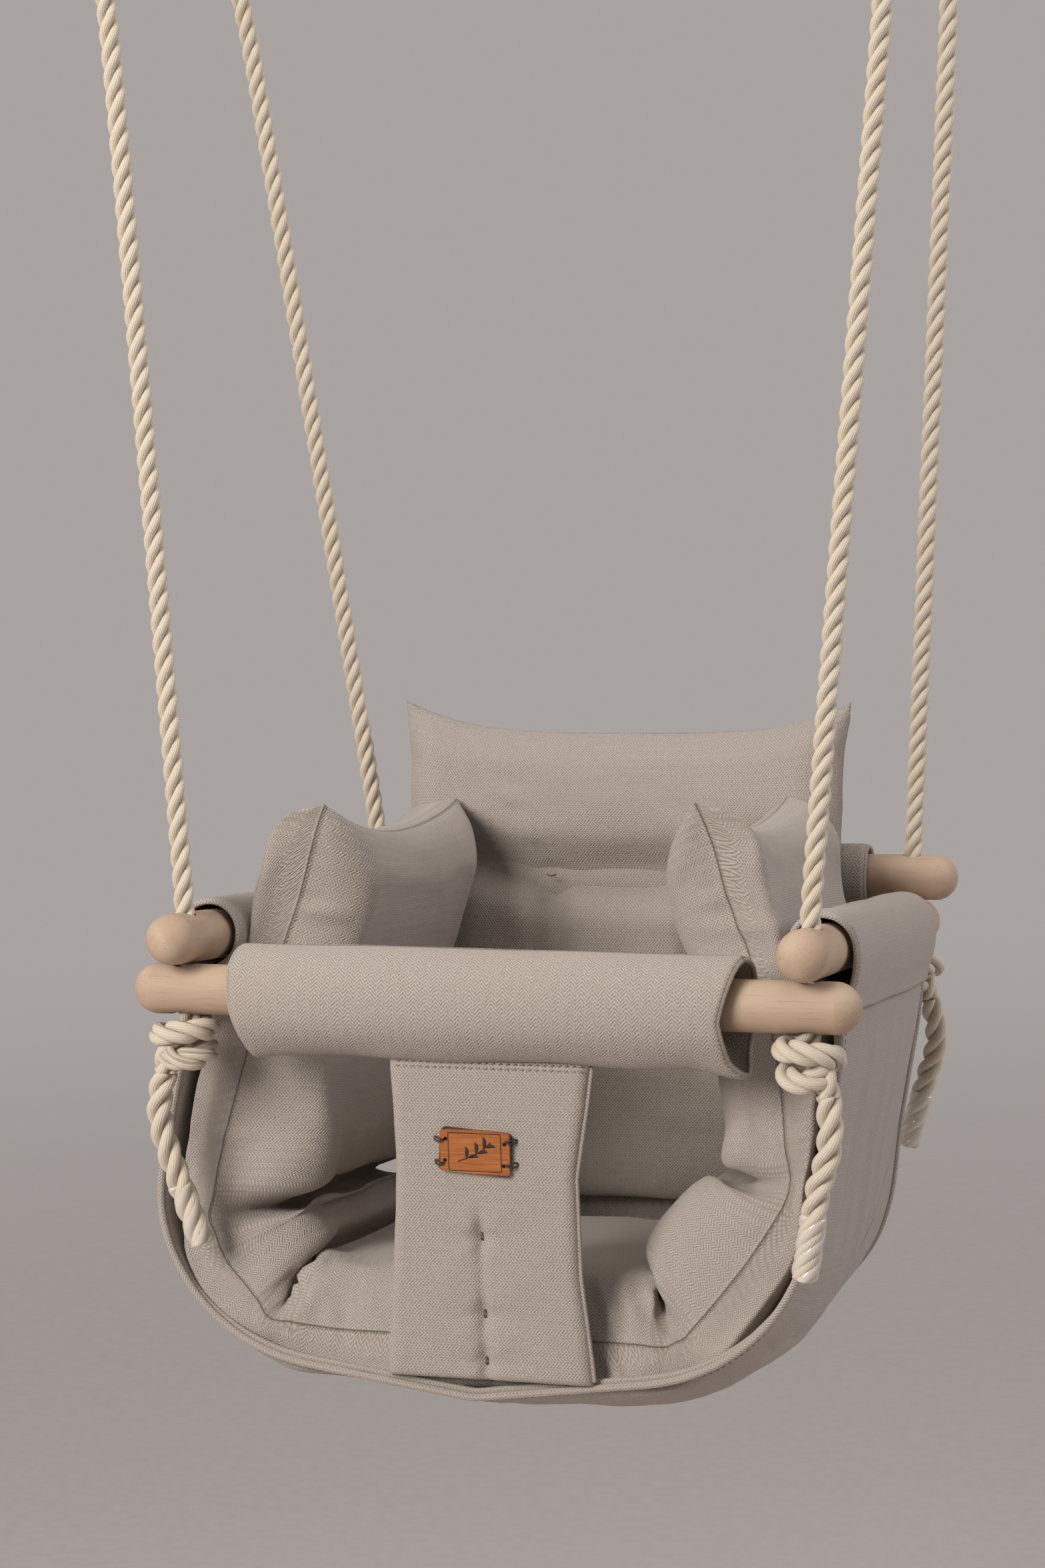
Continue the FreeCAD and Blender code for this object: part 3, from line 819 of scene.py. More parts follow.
materials = {
    "cotton": cotton_material("twisted_cotton"),
    "sealed_rope": cotton_material("sealed_cotton", (0.68, 0.61, 0.53), gloss=True),
    "twine": cotton_material("cotton_twine", (0.66, 0.57, 0.43)),
    "fabric": fabric_material("herringbone", WARM_GREY, DARK_YARN),
    "beech_x": beech_material("beech_across", "x"),
    "beech_y": beech_material("beech_along", "y"),
    "steel": steel_material(),
    "label": label_material(),
    "burnt": plain_material("burnt_wood", (0.035, 0.016, 0.008), 0.7),
    "thread_dark": plain_material("dark_thread", (0.05, 0.033, 0.025), 0.75),
    "thread_brown": plain_material("brown_thread", (0.13, 0.095, 0.07), 0.8),
    "thread_pale": plain_material("pale_thread", (0.33, 0.285, 0.25), 0.85),
}


def dress_frame():
    """Wood and steel on the nodes that show as they are."""
    for end in ENDS:
        repaint(end + "_dowel", "beech_x")
        for side in SIDES:
            repaint(end + "_" + side + "_ring", "steel")
    for side in SIDES:
        repaint(side + "_dowel", "beech_y")
    repaint("label_plate", "label")


def repaint(node, material):
    for place in frame["nodes"][node].material_slots:
        place.material = materials[material]


# Fabric shapes.


def shell_section(half_count):
    """The shell's section (x, n) from the left sleeve down, under the seat and up to the right one."""
    centre = SHELL_HALF_WIDTH - SHELL_CORNER
    line = [(SHELL_HALF_WIDTH, -2.0), (SHELL_HALF_WIDTH, SHELL_CORNER_N / 2)]
    for turn in np.radians(np.linspace(0, 82, 12)):
        line.append((centre + SHELL_CORNER * math.cos(turn), SHELL_CORNER_N - SHELL_CORNER * math.sin(turn)))
    line.append((0, SHELL_MIDDLE_N))
    half = spaced(np.array(line), half_count)
    return np.vstack([half * [-1, 1], half[-2::-1]])


def sag_at(s, x):
    """How far the shell's bottom sags at a distance from the front holes, less towards the left."""
    deepest = np.interp(s, (SHELL_FRONT, 120, 200, SHELL_BACK, BOTTOM_BACK), (0, 21, 27, 14, 8))
    return deepest * (0.5 + 0.5 * smooth((x + 100) / 170))


def shell_grid(rows=46, half_count=44):
    """Grid of the shell's outer face (x, s, n) and its cloth coordinates in millimetres."""
    points = []
    uvs = []
    for row in range(rows):
        share = row / (rows - 1)
        section = shell_section(half_count)
        low = smooth((-section[:, 1] - 150) / 80)
        s = SHELL_FRONT + share * (SHELL_BACK + low * (BOTTOM_BACK - SHELL_BACK) - SHELL_FRONT)
        x = section[:, 0]
        stretch = (SHELL_MIDDLE_N - sag_at(s, x)) / SHELL_MIDDLE_N
        n = np.where(section[:, 1] < 0, section[:, 1] * stretch, section[:, 1])
        points.append(np.stack([x, s, n], axis=1))
        uvs.append(np.stack([lengths(section), s], axis=1))
    return np.array(points), np.array(uvs)


BROAD_FOLD = 2.6  # depth of the shell's upright folds
NARROW_FOLD = 1.6


def fold_shell(points):
    """Soft upright folds in the hanging sides and a slack bottom."""
    out = points.copy()
    rows, columns = points.shape[:2]
    for i in range(rows):
        for j in range(columns):
            x, s, n = points[i, j]
            side = math.copysign(1, x)
            free = float(smooth((s - SHELL_FRONT) / 45) * smooth(-n / 60))
            fold = BROAD_FOLD * ripple((s / 34, n / 190, side * 3), 1.0, 4.0)
            fold += NARROW_FOLD * ripple((s / 15, n / 120, side * 5), 1.0, 9.0)
            down = float(smooth((-n - 130) / 90))
            out[i, j, 0] += side * free * fold * (1 - down)
            out[i, j, 2] += free * fold * down * 1.3
    return out


def pouch_seam(n):
    """Where, along S, the side cloth is sewn to the back's cloth at each height."""
    return 205 + 123 * smooth((n + 250) / 170) ** 1.3


def add_shell():
    points, uvs = shell_grid()
    points = fold_shell(points)
    seam = (points[..., 1] - pouch_seam(points[..., 2])).ravel()
    shell = sheet_object("fabric_shell", level(leaned(points)), uvs, outward=1)
    add_value(shell, "seam", seam + 0.001)
    dress(shell, "fabric", "shell_fabric", "left_side_panel", "right_side_panel", "bottom_panel")
    add_hems(points)


def edge_line(points, inset=0.0):
    """An edge of the shell in metres, moved inwards by a few millimetres."""
    line = points.copy()
    line[:, 0] -= np.sign(line[:, 0]) * inset * smooth((-60 - line[:, 2]) / -60)
    line[:, 2] += inset * smooth((-line[:, 2] - 150) / 80)
    return level(leaned(line))


def rolled_hem(name, line, inner, radius=2.5):
    """Two rolls of cloth side by side, slightly uneven."""
    parts = []
    for path, size in ((line, radius), (inner, radius * 0.85)):
        wobble = np.array([1 + 0.12 * ripple(p, 90.0, 2.0) for p in path])
        parts.append(tube_arrays(path, size * MM * wobble, around=10))
    return refine(bundle(name, parts))


def add_hems(points):
    """Rolled front edge with a row of stitches beside it, and the side panels' back edges."""
    front = points[0]
    front_line = spaced(edge_line(front + [0, -1.2, 0], 1.5), 170)
    front_inner = spaced(edge_line(front + [0, 1.6, 0], 4.6), 170)
    hem = rolled_hem("front_hem_roll", front_line, front_inner)
    dress(hem, "fabric", "shell_fabric", "front_hem")
    row = points[2] * 0.4 + points[1] * 0.6
    outward = unit(level(row * [1.01, 1, 1.01]) - level(row))
    stitches = bundle("front_hem_stitches", stitch_row(edge_line(row), outward))
    dress(stitches, "thread_pale", "thread")
    columns = points.shape[1]
    for side, picked in (("left", slice(0, 31)), ("right", slice(columns - 31, columns))):
        back = points[-1, picked]
        outer = edge_line(back + [0, 1, 0], 1.5)
        roll = rolled_hem(side + "_back_hem_roll", outer, edge_line(back, 4.4), 2.2)
        dress(roll, "fabric", "shell_fabric", side + "_back_hem")


def dress(piece, material, slot, *nodes, body="seat"):
    """Gives a piece its material and body, and hides the CAD nodes that it stands for; the slot is not used.
    """
    piece.data.materials.clear()
    piece.data.materials.append(materials[material])
    if "seam" not in piece.data.attributes:
        add_value(piece, "seam", np.full(len(piece.data.vertices), NO_SEAM))
    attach(piece, body)
    if nodes:
        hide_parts(*nodes)
    return piece


# The sleeves on the side and back dowels: a loop of cloth round the bar, sewn shut below it.

# Outlines from the seam round the bar and back: x, n for the right dowel and s, n for the back one.
SIDE_SLEEVE = [
    (199, -4), (188, 7), (173, 17), (168.5, 30), (172, 42.5), (182, 49.5), (194, 49), (203.5, 42),
    (207.5, 30), (206.5, 15), (203.5, 4), (201.5, -6),
]  # fmt: skip
SIDE_SLEEVE_ENDS = (38.0, 329.0)
BACK_SLEEVE = [
    (363, 34), (352, 44), (347, 56), (349, 70), (358, 78.5), (370, 79.5), (381, 73), (385.5, 60),
    (381, 46), (371, 37), (364.5, 31),
]  # fmt: skip
BACK_SLEEVE_HALF = 158.0


def sleeve_grid(outline, start, end, along_x, seed):
    """Grid of a sleeve's cloth: its outline repeated along the dowel, with soft unevenness."""
    around = flow(outline, 44)
    rows = 44
    points = np.zeros((rows, len(around), 3))
    uvs = np.zeros((rows, len(around), 2))
    centre = around.mean(axis=0)
    for i in range(rows):
        place = start + (end - start) * i / (rows - 1)
        for j, (a, b) in enumerate(around):
            swell = 1 + 0.035 * ripple((place / 40, a / 30, b / 30), 1.0, seed)
            pulled = centre + (np.array([a, b]) - centre) * swell
            rim = 1.2 * ripple((a / 14, b / 14, place), 1.0, seed + 5) if i in (0, rows - 1) else 0
            sweep = place + rim
            points[i, j] = (sweep, *pulled) if along_x else (pulled[0], sweep, pulled[1])
        uvs[i, :, 0] = place
        uvs[i, :, 1] = lengths(around)
    return points, uvs


def add_sleeve(name, points, uvs, node, seam_line, seam_out):
    sleeve = sheet_object(name, level(points), uvs)
    dress(sleeve, "fabric", "shell_fabric", node)
    add_rims(name + "_rims", level(points[[0, -1]]), 1.7)
    rows = stitch_row(seam_line, seam_out)
    for row in (2, -3):
        ring = level(points[row])
        out = unit(ring - ring.mean(axis=0))
        rows += stitch_row(ring + out * 0.1 * MM, out)
    stitches = bundle(name + "_stitches", rows)
    dress(stitches, "thread_pale", "thread")


def add_sleeves():
    for side, sign in SIDES.items():
        outline = np.array(SIDE_SLEEVE) * [sign, 1]
        points, uvs = sleeve_grid(outline[:: -sign], *SIDE_SLEEVE_ENDS, False, 3.0 + sign)
        seam = np.array([(sign * 204.2, s, 1.0) for s in np.linspace(42, 325, 60)])
        out = np.tile([float(sign), 0, 0], (60, 1))
        add_sleeve(side + "_sleeve_cloth", points, uvs, side + "_sleeve", level(seam), out)
    points, uvs = sleeve_grid(np.array(BACK_SLEEVE), -BACK_SLEEVE_HALF, BACK_SLEEVE_HALF, True, 8.0)
    seam = np.array([(x, 368.2, 36.0) for x in np.linspace(-154, 154, 60)])
    out = np.tile([0, 1.0, 0], (60, 1))
    add_sleeve("back_sleeve_cloth", points, uvs, "back_sleeve", level(seam), out)


PANEL_TOP = 38.0
PANEL_BOTTOM = -248.0
PANEL_S = 363.0
PANEL_HALF_WIDTHS = ((-246, -238, -200, -120, 38), (86, 98, 130, 149, 151))  # height, half width


def add_back_panel():
    """Cloth that hangs from the back sleeve down to the shell's bottom."""
    points = np.zeros((40, 44, 3))
    for i, n in enumerate(np.linspace(PANEL_TOP, PANEL_BOTTOM, points.shape[0])):
        half = np.interp(n, *PANEL_HALF_WIDTHS)
        for j, across in enumerate(np.linspace(-1, 1, points.shape[1])):
            x = across * half
            slack = 7 * math.sin(math.pi * (PANEL_TOP - n) / (PANEL_TOP - PANEL_BOTTOM)) * (1 - across**2)
            fold = 2.4 * ripple((x / 32, n / 120, 0.5), 1.0, 6.0) * smooth((30 - n) / 60)
            meet = 8 * smooth((-n - 215) / 35)
            points[i, j] = (x, PANEL_S + slack + fold - meet, n)
    uvs = points[..., [0, 2]]
    panel = sheet_object("back_panel_cloth", level(leaned(points)), uvs)
    dress(panel, "fabric", "shell_fabric", "back_panel")
    add_rims("back_panel_edges", [level(leaned(points[:, column])) for column in (0, -1)], 2.0)


# The front bar's cover.

COVER_HALF = 149.0
COVER_HALF_DEPTH = 24.5
COVER_HALF_HEIGHT = 30.5
COVER_DROP = 4.5  # its middle hangs this far below the bar's axis
COVER_UV_RADIUS = 28.0
ANGLES = (0, 45, 90, 135, 165, 180, 225, 270, 315, 360)  # top, front, bottom, back
RIGHT_END = (2, -3, -9, -5, 3, 4, 1, 3, 4, 2)  # how far the cloth reaches past the cover's end
LEFT_END = (1, 3, 1, -4, -6, -3, 1, 2, 2, 1)


def cover_point(share, turn):
    """Place (x, y, z) on the cover, a share of the way along it and turned forwards from its top."""
    degrees = math.degrees(turn)
    reach = np.interp(degrees, ANGLES, RIGHT_END) * smooth((share - 0.72) / 0.28)
    reach -= np.interp(degrees, ANGLES, LEFT_END) * smooth((0.28 - share) / 0.28)
    x = -COVER_HALF + 2 * COVER_HALF * share + reach
    low = float(smooth(-math.cos(turn)))
    swell = 1 + 0.018 * ripple((x / 55, turn * 0.9, 0), 1.0, 12.0)
    swell += 0.012 * ripple((x / 16, turn * 1.6, 0), 1.0, 3.0) * low
    y = -math.sin(turn) * COVER_HALF_DEPTH * (1 - 0.22 * low**2) * swell
    droop = 6.5 * smooth((x - 118) / 30) + 2.0 * smooth((-x - 125) / 25) - 1.1 * math.sin(x / 19)
    return x, y, -COVER_DROP + math.cos(turn) * COVER_HALF_HEIGHT * swell - low**2 * droop


def add_front_cover():
    """A loose tube of cloth over the front bar, wavy at its open ends, sewn to the strap below."""
    turns = np.linspace(0, 2 * math.pi, 56, endpoint=False)
    points = np.array([[cover_point(share, turn) for turn in turns] for share in np.linspace(0, 1, 60)])
    uvs = np.stack([points[..., 0], np.broadcast_to(turns * COVER_UV_RADIUS, points.shape[:2])], axis=-1)
    cover = sheet_object("front_bar_cover_cloth", plumb(points), uvs, wrap=True, flip=True)
    dress(cover, "fabric", "shell_fabric", "front_bar_cover")
    rings = [plumb(np.vstack([points[row], points[row, :1]])) for row in (0, -1)]
    add_rims("front_bar_cover_rims", rings, 1.6)


# Cushions: two layers of cloth sewn together all round, blown up like a stuffed pad.

CLOTH_FRAMES = 20
CLOTH_PRESSURE = 4.0
SEAM_PUCKER = 1.1
CLOTH_SLACK = 1.6
INWARD_SHARE = 0.2  # of the cloth's movement inwards that is kept, so that the pad doesn't shrink


def rounding(count, depth, total, radius):
    """Distances across a pad and how full it is there, round at both edges."""
    turns = np.radians(np.linspace(0, 90, count))
    rise = np.stack([radius * (1 - np.cos(turns)), np.sin(turns)], axis=1)
    inside = np.linspace(radius, total - radius, max(2, int((total - 2 * radius) / depth)) + 2)[1:-1]
    flat = np.stack([inside, np.ones(len(inside))], axis=1)
    fall = np.stack([total - rise[::-1, 0], rise[::-1, 1]], axis=1)
    return np.vstack([rise, flat, fall])


def run_down(grid):
    """Millimetres over the surface from a grid's first row to each of its points."""
    steps = np.linalg.norm(np.diff(grid, axis=0), axis=2)
    return np.concatenate([np.zeros((1, grid.shape[1])), np.cumsum(steps, axis=0)])


def edge_distance(grid):
    """Millimetres over the surface from each point of a grid to the nearest edge of the grid."""
    down, across = (run_down(lines) for lines in (grid, grid.swapaxes(0, 1)))
    return np.minimum(np.minimum(down, down[-1] - down), np.minimum(across, across[-1] - across).T)


def cloth_grid(grid):
    """Cloth coordinates of a layer in millimetres, measured over its surface from the middle."""
    down, across = (run_down(lines) for lines in (grid, grid.swapaxes(0, 1)))
    down = (down - down[len(down) // 2]).mean(axis=1)[:, None]
    return np.stack([np.broadcast_to(down, grid.shape[:2]), (across - across[len(across) // 2]).T], axis=-1)


def pad_object(name, inner, outer, place=level):
    """Closed pad from two grids that share their rim, where its seam runs."""
    rows, columns = inner.shape[:2]
    rim = np.zeros((rows, columns), bool)
    rim[[0, -1]] = True
    rim[:, [0, -1]] = True
    index = np.arange(rows * columns).reshape(rows, columns)
    other = index.copy()
    other[~rim] = rows * columns + np.arange((~rim).sum())
    points = place(np.vstack([inner.reshape(-1, 3), outer[~rim]]))
    uvs = np.vstack([cloth_grid(inner).reshape(-1, 2), cloth_grid(outer)[~rim]])
    faces = []
    for i in range(rows - 1):
        for j in range(columns - 1):
            faces.append((index[i, j], index[i, j + 1], index[i + 1, j + 1], index[i + 1, j]))
            faces.append((other[i, j], other[i + 1, j], other[i + 1, j + 1], other[i, j + 1]))
    piece = mesh_object(name, points, faces, uvs)
    add_value(piece, "seam", np.concatenate([edge_distance(inner).ravel(), -edge_distance(outer)[~rim]]))
    return piece


def inflate(piece, cap):
    """Blows the pad up with Blender's cloth, moving no point further than cap millimetres."""
    scene = bpy.context.scene
    before = points_of(piece)
    cloth = add_pressure_cloth(piece)
    for step in range(1, CLOTH_FRAMES + 1):
        scene.frame_set(step)
    shown = piece.evaluated_get(bpy.context.evaluated_depsgraph_get())
    after = vertex_vectors(shown.data, "co")
    piece.modifiers.remove(cloth)
    scene.frame_set(1)
    move = after - before
    outward = (move * normals_of(piece)).sum(axis=1)[:, None]
    move *= np.where(outward < 0, INWARD_SHARE, 1.0)
    far = np.linalg.norm(move, axis=1)[:, None]
    set_points(piece, before + move * np.minimum(1, cap * MM / np.maximum(far, 1e-9)))


def add_pressure_cloth(piece):
    """Soft, weightless cloth with air pushing from inside."""
    cloth = piece.modifiers.new("Cloth", "CLOTH")
    settings = cloth.settings
    settings.quality = 5
    settings.mass = 0.3
    settings.tension_stiffness = 12
    settings.compression_stiffness = 6
    settings.shear_stiffness = 4
    settings.bending_stiffness = 0.4
    settings.use_pressure = True
    settings.uniform_pressure_force = CLOTH_PRESSURE
    settings.effector_weights.gravity = 0
    cloth.collision_settings.use_collision = False
    cloth.point_cache.frame_end = CLOTH_FRAMES
    return cloth


def cloth_values(piece):
    """Each point's cloth coordinates and its signed distance to the seam, in millimetres."""
    mesh = piece.data
    corner = np.zeros(len(mesh.loops), np.int32)
    mesh.loops.foreach_get("vertex_index", corner)
    flat = np.zeros(len(mesh.loops) * 2, np.float32)
    mesh.uv_layers["cloth"].data.foreach_get("uv", flat)
    cloth = np.zeros((len(mesh.vertices), 2))
    cloth[corner] = flat.reshape(-1, 2)
    seam = np.zeros(len(mesh.vertices), np.float32)
    mesh.attributes["seam"].data.foreach_get("value", seam)
    return cloth, seam


def wrinkle(piece, seed):
    """Small gathers along the seams and slack, uneven cloth between them."""
    cloth, seam = cloth_values(piece)
    points = points_of(piece)
    away = np.abs(seam)
    shift = np.zeros(len(points))
    for index, ((u, v), d, place) in enumerate(zip(cloth, away, points)):
        gather = ripple((u / 9.0, v / 9.0, math.copysign(2, seam[index])), 1.0, seed)
        shift[index] = SEAM_PUCKER * gather * math.exp(-d / 13) * min(1, d / 2.5)
        broad = ripple(place, 16.0, seed + 7)
        narrow = ripple((u / 19.0, v / 34.0, 0.5), 1.0, seed + 3)
        shift[index] += CLOTH_SLACK * min(1, d / 16) * (broad + 0.55 * narrow)
    set_points(piece, points + normals_of(piece) * shift[:, None] * MM)


def press_creases(piece, creases):
    """Presses short folds into a cushion: (start, end, width, depth) in level millimetres."""
    points = points_of(piece)
    normals = normals_of(piece)
    shift = np.zeros(len(points))
    for start, end, width, depth in creases:
        a = level(leaned(start))
        run = level(leaned(end)) - a
        t = np.clip((points - a) @ run / (run @ run), 0, 1)
        away = np.linalg.norm(points - a - t[:, None] * run, axis=1) / (width * MM)
        taper = 0.35 + 0.65 * np.sin(math.pi * np.clip(t, 0.05, 0.95))
        shift -= depth * MM * taper * (np.exp(-(away**2)) - 0.35 * np.exp(-((away - 2.1) ** 2)))
    set_points(piece, points + normals * shift[:, None])


# Where the seat's padding is sewn along its front edge, from the left top corner down, under the
# child and up to the right one: x, n, and how thick it is inwards and outwards of the seam.
PADDING = [
    (-111, 118, 34, 36), (-121, 88, 38, 38), (-132, 52, 42, 40), (-144, 22, 45, 32), (-157, -15, 48, 36),
    (-165, -55, 63, 33), (-171, -98, 72, 27), (-174, -140, 60, 24), (-166, -168, 58, 25),
    (-150, -186, 57, 27), (-131, -204, 52, 29), (-97, -206, 48, 33), (-51, -204, 47, 36), (10, -203, 47, 36),
    (72, -203, 48, 36), (97, -204, 48, 33), (121, -203, 52, 29), (152, -169, 66, 27), (174, -137, 63, 24),
    (185, -108, 48, 14), (178, -85, 50, 20), (170, -60, 49, 27), (160, -30, 48, 36), (151, -5, 46, 40),
    (141, 23, 46, 32), (125, 57, 42, 38), (116, 93, 38, 38), (107, 122, 34, 36),
]  # fmt: skip
PADDING_FOLDS = [(-174, -140), (-131, -204), (121, -203), (185, -108)]  # creases between its sections
PADDING_FRONT = 43.0
PADDING_DEPTH = 272.0
PADDING_ROUNDING = 37.0
TOP_SAG = 19.0  # how far the side cushions' top edges hang between their corners
TOP_ROUNDING = 40.0
FRONT_BOW = 7.0  # how far the front edge draws back between the creases and the top
FOLD_WIDTH = 20.0
FOLD_DEPTH = 0.62  # of the padding's inward thickness, at its creases
OUTER_FOLD_DEPTH = 0.1
OUTER_FLATNESS = 22.0  # how much nearer the front the outer layer is full
FOLD_PULL = 15.0  # how far a crease draws the padding's front face back


def stuffed_pad(name, inner, outer, cap, creases, seed):
    """Two layers blown up, then creased and wrinkled as finished mesh."""
    pad = pad_object(name, inner, outer)
    inflate(pad, cap)
    refine(pad)
    apply_modifiers(pad)
    press_creases(pad, creases)
    wrinkle(pad, seed)
    return pad


def cusp(away, width):
    """1 on a fold, falling to 0 at its width, with a sharp valley."""
    return (1 - np.minimum(away / width, 1)) ** 2


def quarter_round(run, radius):
    """0 at an edge, rising to 1 at the radius like a quarter of a circle."""
    return np.sqrt(1 - (1 - np.minimum(run / radius, 1)) ** 2)


def padding_folds(line):
    """How deep in a crease each point of the padding's line lies, from 0 to 1."""
    along = lengths(line)
    places = [along[np.linalg.norm(line - fold, axis=1).argmin()] for fold in PADDING_FOLDS]
    return sum(cusp(np.abs(along - place), FOLD_WIDTH) for place in places)


def padding_layer(stations, across, way, groove):
    """One layer of the padding, a column per distance behind its front; way is 1 inwards, -1 outwards."""
    line = stations[:, :2]
    along = lengths(line)
    tangents = unit(np.gradient(line, axis=0))
    inward = np.stack([-tangents[:, 1], tangents[:, 0]], axis=1)
    fold = padding_folds(line)
    top = np.minimum(along, along[-1] - along)
    bow = FRONT_BOW * np.sin(math.pi * np.clip(top / 150, 0, 1)) ** 2
    layer = np.zeros((len(line), len(across), 3))
    for j, (distance, full) in enumerate(across):
        share = distance / PADDING_DEPTH
        front = share < 0.5
        edge = min(distance, PADDING_DEPTH - distance)
        slack = sag_at(PADDING_FRONT + distance, line[:, 0]) * smooth((-line[:, 1] - 120) / 90)
        thick = stations[:, 2] * full if way == 1 else (stations[:, 3] + slack) * full**0.55
        height = thick * quarter_round(top, TOP_ROUNDING) * (1 - groove * fold) * 0.97
        place = line + inward * (way * height)[:, None]
        s = PADDING_FRONT + distance + bow * (1 - 2 * share) * (1 - smooth(edge / PADDING_DEPTH * 5))
        flat = OUTER_FLATNESS * full if way == -1 and front else 0
        pull = FOLD_PULL * groove / FOLD_DEPTH * fold * full**0.6 * (1 - smooth(edge / 60))
        layer[:, j, 0] = place[:, 0]
        layer[:, j, 1] = np.maximum(s - flat, PADDING_FRONT - 1.5) + (pull if front else -pull)
        layer[:, j, 2] = place[:, 1] - TOP_SAG * math.sin(math.pi * share) ** 0.8 * smooth(1 - top / 95)
    return leaned(layer)


def add_padding():
    stations = flow(PADDING, 150)
    across = rounding(9, 6.4, PADDING_DEPTH, PADDING_ROUNDING)
    inner = padding_layer(stations, across, 1, FOLD_DEPTH)
    outer = padding_layer(stations, across, -1, OUTER_FOLD_DEPTH)
    pad = stuffed_pad("seat_padding", inner, outer, 7.0, PADDING_CREASES, 0.0)
    nodes = [side + part for side in SIDES for part in ("_side_cushion", "_corner_cushion")]
    dress(pad, "fabric", "cushion_fabric", *nodes, "seat_cushion")


# Folds that the stuffing makes at the front: start and end (x, s, n), width and depth.
PADDING_CREASES = [
    ((-136, 55, 46), (-108, 62, 43), 4.0, 1.8),
    ((-176, 50, -94), (-146, 56, -89), 4.0, 2.4),
    ((-179, 50, -50), (-176, 50, -92), 4.5, 1.8),
    ((-138, 48, -200), (-104, 60, -168), 3.2, 5.0),
    ((-118, 52, -188), (-112, 58, -170), 3.0, 3.0),
    ((-92, 46, -210), (-94, 48, -194), 4.0, 1.6),
    ((144, 52, -102), (160, 50, -109), 3.4, 3.6),
    ((158, 50, -108), (181, 46, -107), 3.0, 2.6),
    ((144, 52, -124), (170, 48, -138), 6.0, 1.5),
    ((167, 47, -150), (186, 46, -152), 5.0, 1.3),
    ((100, 58, -168), (121, 46, -204), 3.0, 4.6),
    ((108, 50, -189), (131, 46, -220), 3.0, 4.0),
    ((66, 64, -166), (82, 50, -194), 3.0, 3.4),
    ((72, 47, -200), (88, 46, -228), 3.0, 3.6),
    ((84, 60, -170), (96, 50, -194), 2.8, 2.4),
    ((118, 44, -206), (112, 44, -230), 2.8, 2.4),
    ((103, 56, 39), (158, 50, 42), 5.0, 1.9),
    ((-168, 46, -171), (-139, 46, -192), 4.0, 1.5),
    ((56, 54, -186), (64, 50, -214), 3.2, 1.6),
    ((96, 60, -160), (110, 50, -186), 3.4, 2.0),
    ((140, 52, -150), (154, 48, -164), 3.4, 1.2),
    ((-128, 52, -214), (-118, 54, -186), 3.2, 1.8),
    ((-150, 52, -176), (-132, 56, -160), 3.6, 1.6),
    ((-118, 60, 70), (-104, 75, 60), 4.0, 1.4),
    ((124, 54, 60), (112, 66, 52), 4.0, 1.5),
]

# The back cushion from its top edge down: s, n, and how thick it is forwards and backwards.
BACK_CUSHION = [
    (352, 184, 20, 18), (350, 154, 30, 25), (347, 112, 34, 25), (341, 82, 30, 12), (337, 57, 17, 6),
    (336, 34, 23, 10), (337, -50, 22, 14), (337, -110, 19, 14), (337, -166, 17, 13),
]  # fmt: skip
BACK_CUSHION_HALF = 151.0
BACK_CUSHION_ROUNDING = 30.0
BACK_CUSHION_SAG = 24.0  # how far its top edge hangs between the corners
BACK_TACKS = (-52.0, 52.0)  # where two tacks draw the cushion in
BACK_FOLD_N = 56.0  # height of the fold across it, at the tacks

# Folds that the back cushion's tacks make: start and end (x, s, n), width and depth.
BACK_CREASES = [
    ((-108, 322, 80), (-54, 320, 58), 4.5, 3.2), ((104, 322, 76), (54, 320, 57), 4.5, 3.0),
    ((-70, 318, 96), (-55, 318, 62), 4.0, 2.0), ((72, 318, 92), (55, 318, 62), 4.0, 2.0),
    ((-52, 322, 56), (-50, 320, -50), 4.0, 3.6), ((52, 322, 56), (51, 320, -50), 4.0, 3.6),
    ((-60, 324, 58), (60, 324, 58), 4.0, 4.2), ((-96, 322, 120), (-66, 320, 104), 5.0, 1.2),
    ((20, 318, 108), (44, 318, 84), 5.0, 1.0), ((-30, 318, 40), (-44, 318, 10), 5.0, 1.2),
]  # fmt: skip


def back_cushion_layer(stations, across, way):
    """One layer of the back cushion, a column per distance from its left edge; way is 1 forwards, -1 back."""
    line = stations[:, :2]
    along = lengths(line)
    tangents = unit(np.gradient(line, axis=0))
    forward = np.stack([tangents[:, 1], -tangents[:, 0]], axis=1)
    end = quarter_round(np.minimum(along, along[-1] - along), BACK_CUSHION_ROUNDING)
    narrow = 1 - 0.09 * smooth((90 - line[:, 1]) / 60)
    layer = np.zeros((len(line), len(across), 3))
    for j, (distance, full) in enumerate(across):
        x = (distance - BACK_CUSHION_HALF) * narrow
        x += np.sign(x) * 4 * smooth((line[:, 1] - 140) / 40) - 8 * smooth((line[:, 1] - 40) / 80)
        dip = BACK_CUSHION_SAG * (1 - np.abs(distance / BACK_CUSHION_HALF - 1) ** 3)
        dip = dip * smooth((line[:, 1] - 95) / 80)
        rise = 20 * smooth((np.abs(x) - 50) / 90)
        fold = cusp(np.abs(line[:, 1] - BACK_FOLD_N - rise), 30.0)
        upright = sum(cusp(np.abs(x - tack), 22.0) for tack in BACK_TACKS)
        upright = upright * smooth((BACK_FOLD_N + 12 - line[:, 1]) / 14) * smooth((line[:, 1] + 110) / 120)
        thick = stations[:, 2] if way == 1 else stations[:, 3]
        press = 0.88 * fold + 0.6 * upright if way == 1 else 0.2 * fold
        height = thick * full * end * (1 - press) * 0.95
        place = line + forward * (way * height)[:, None]
        layer[:, j, 0] = x
        layer[:, j, 1] = place[:, 0]
        layer[:, j, 2] = place[:, 1] - dip
    return layer


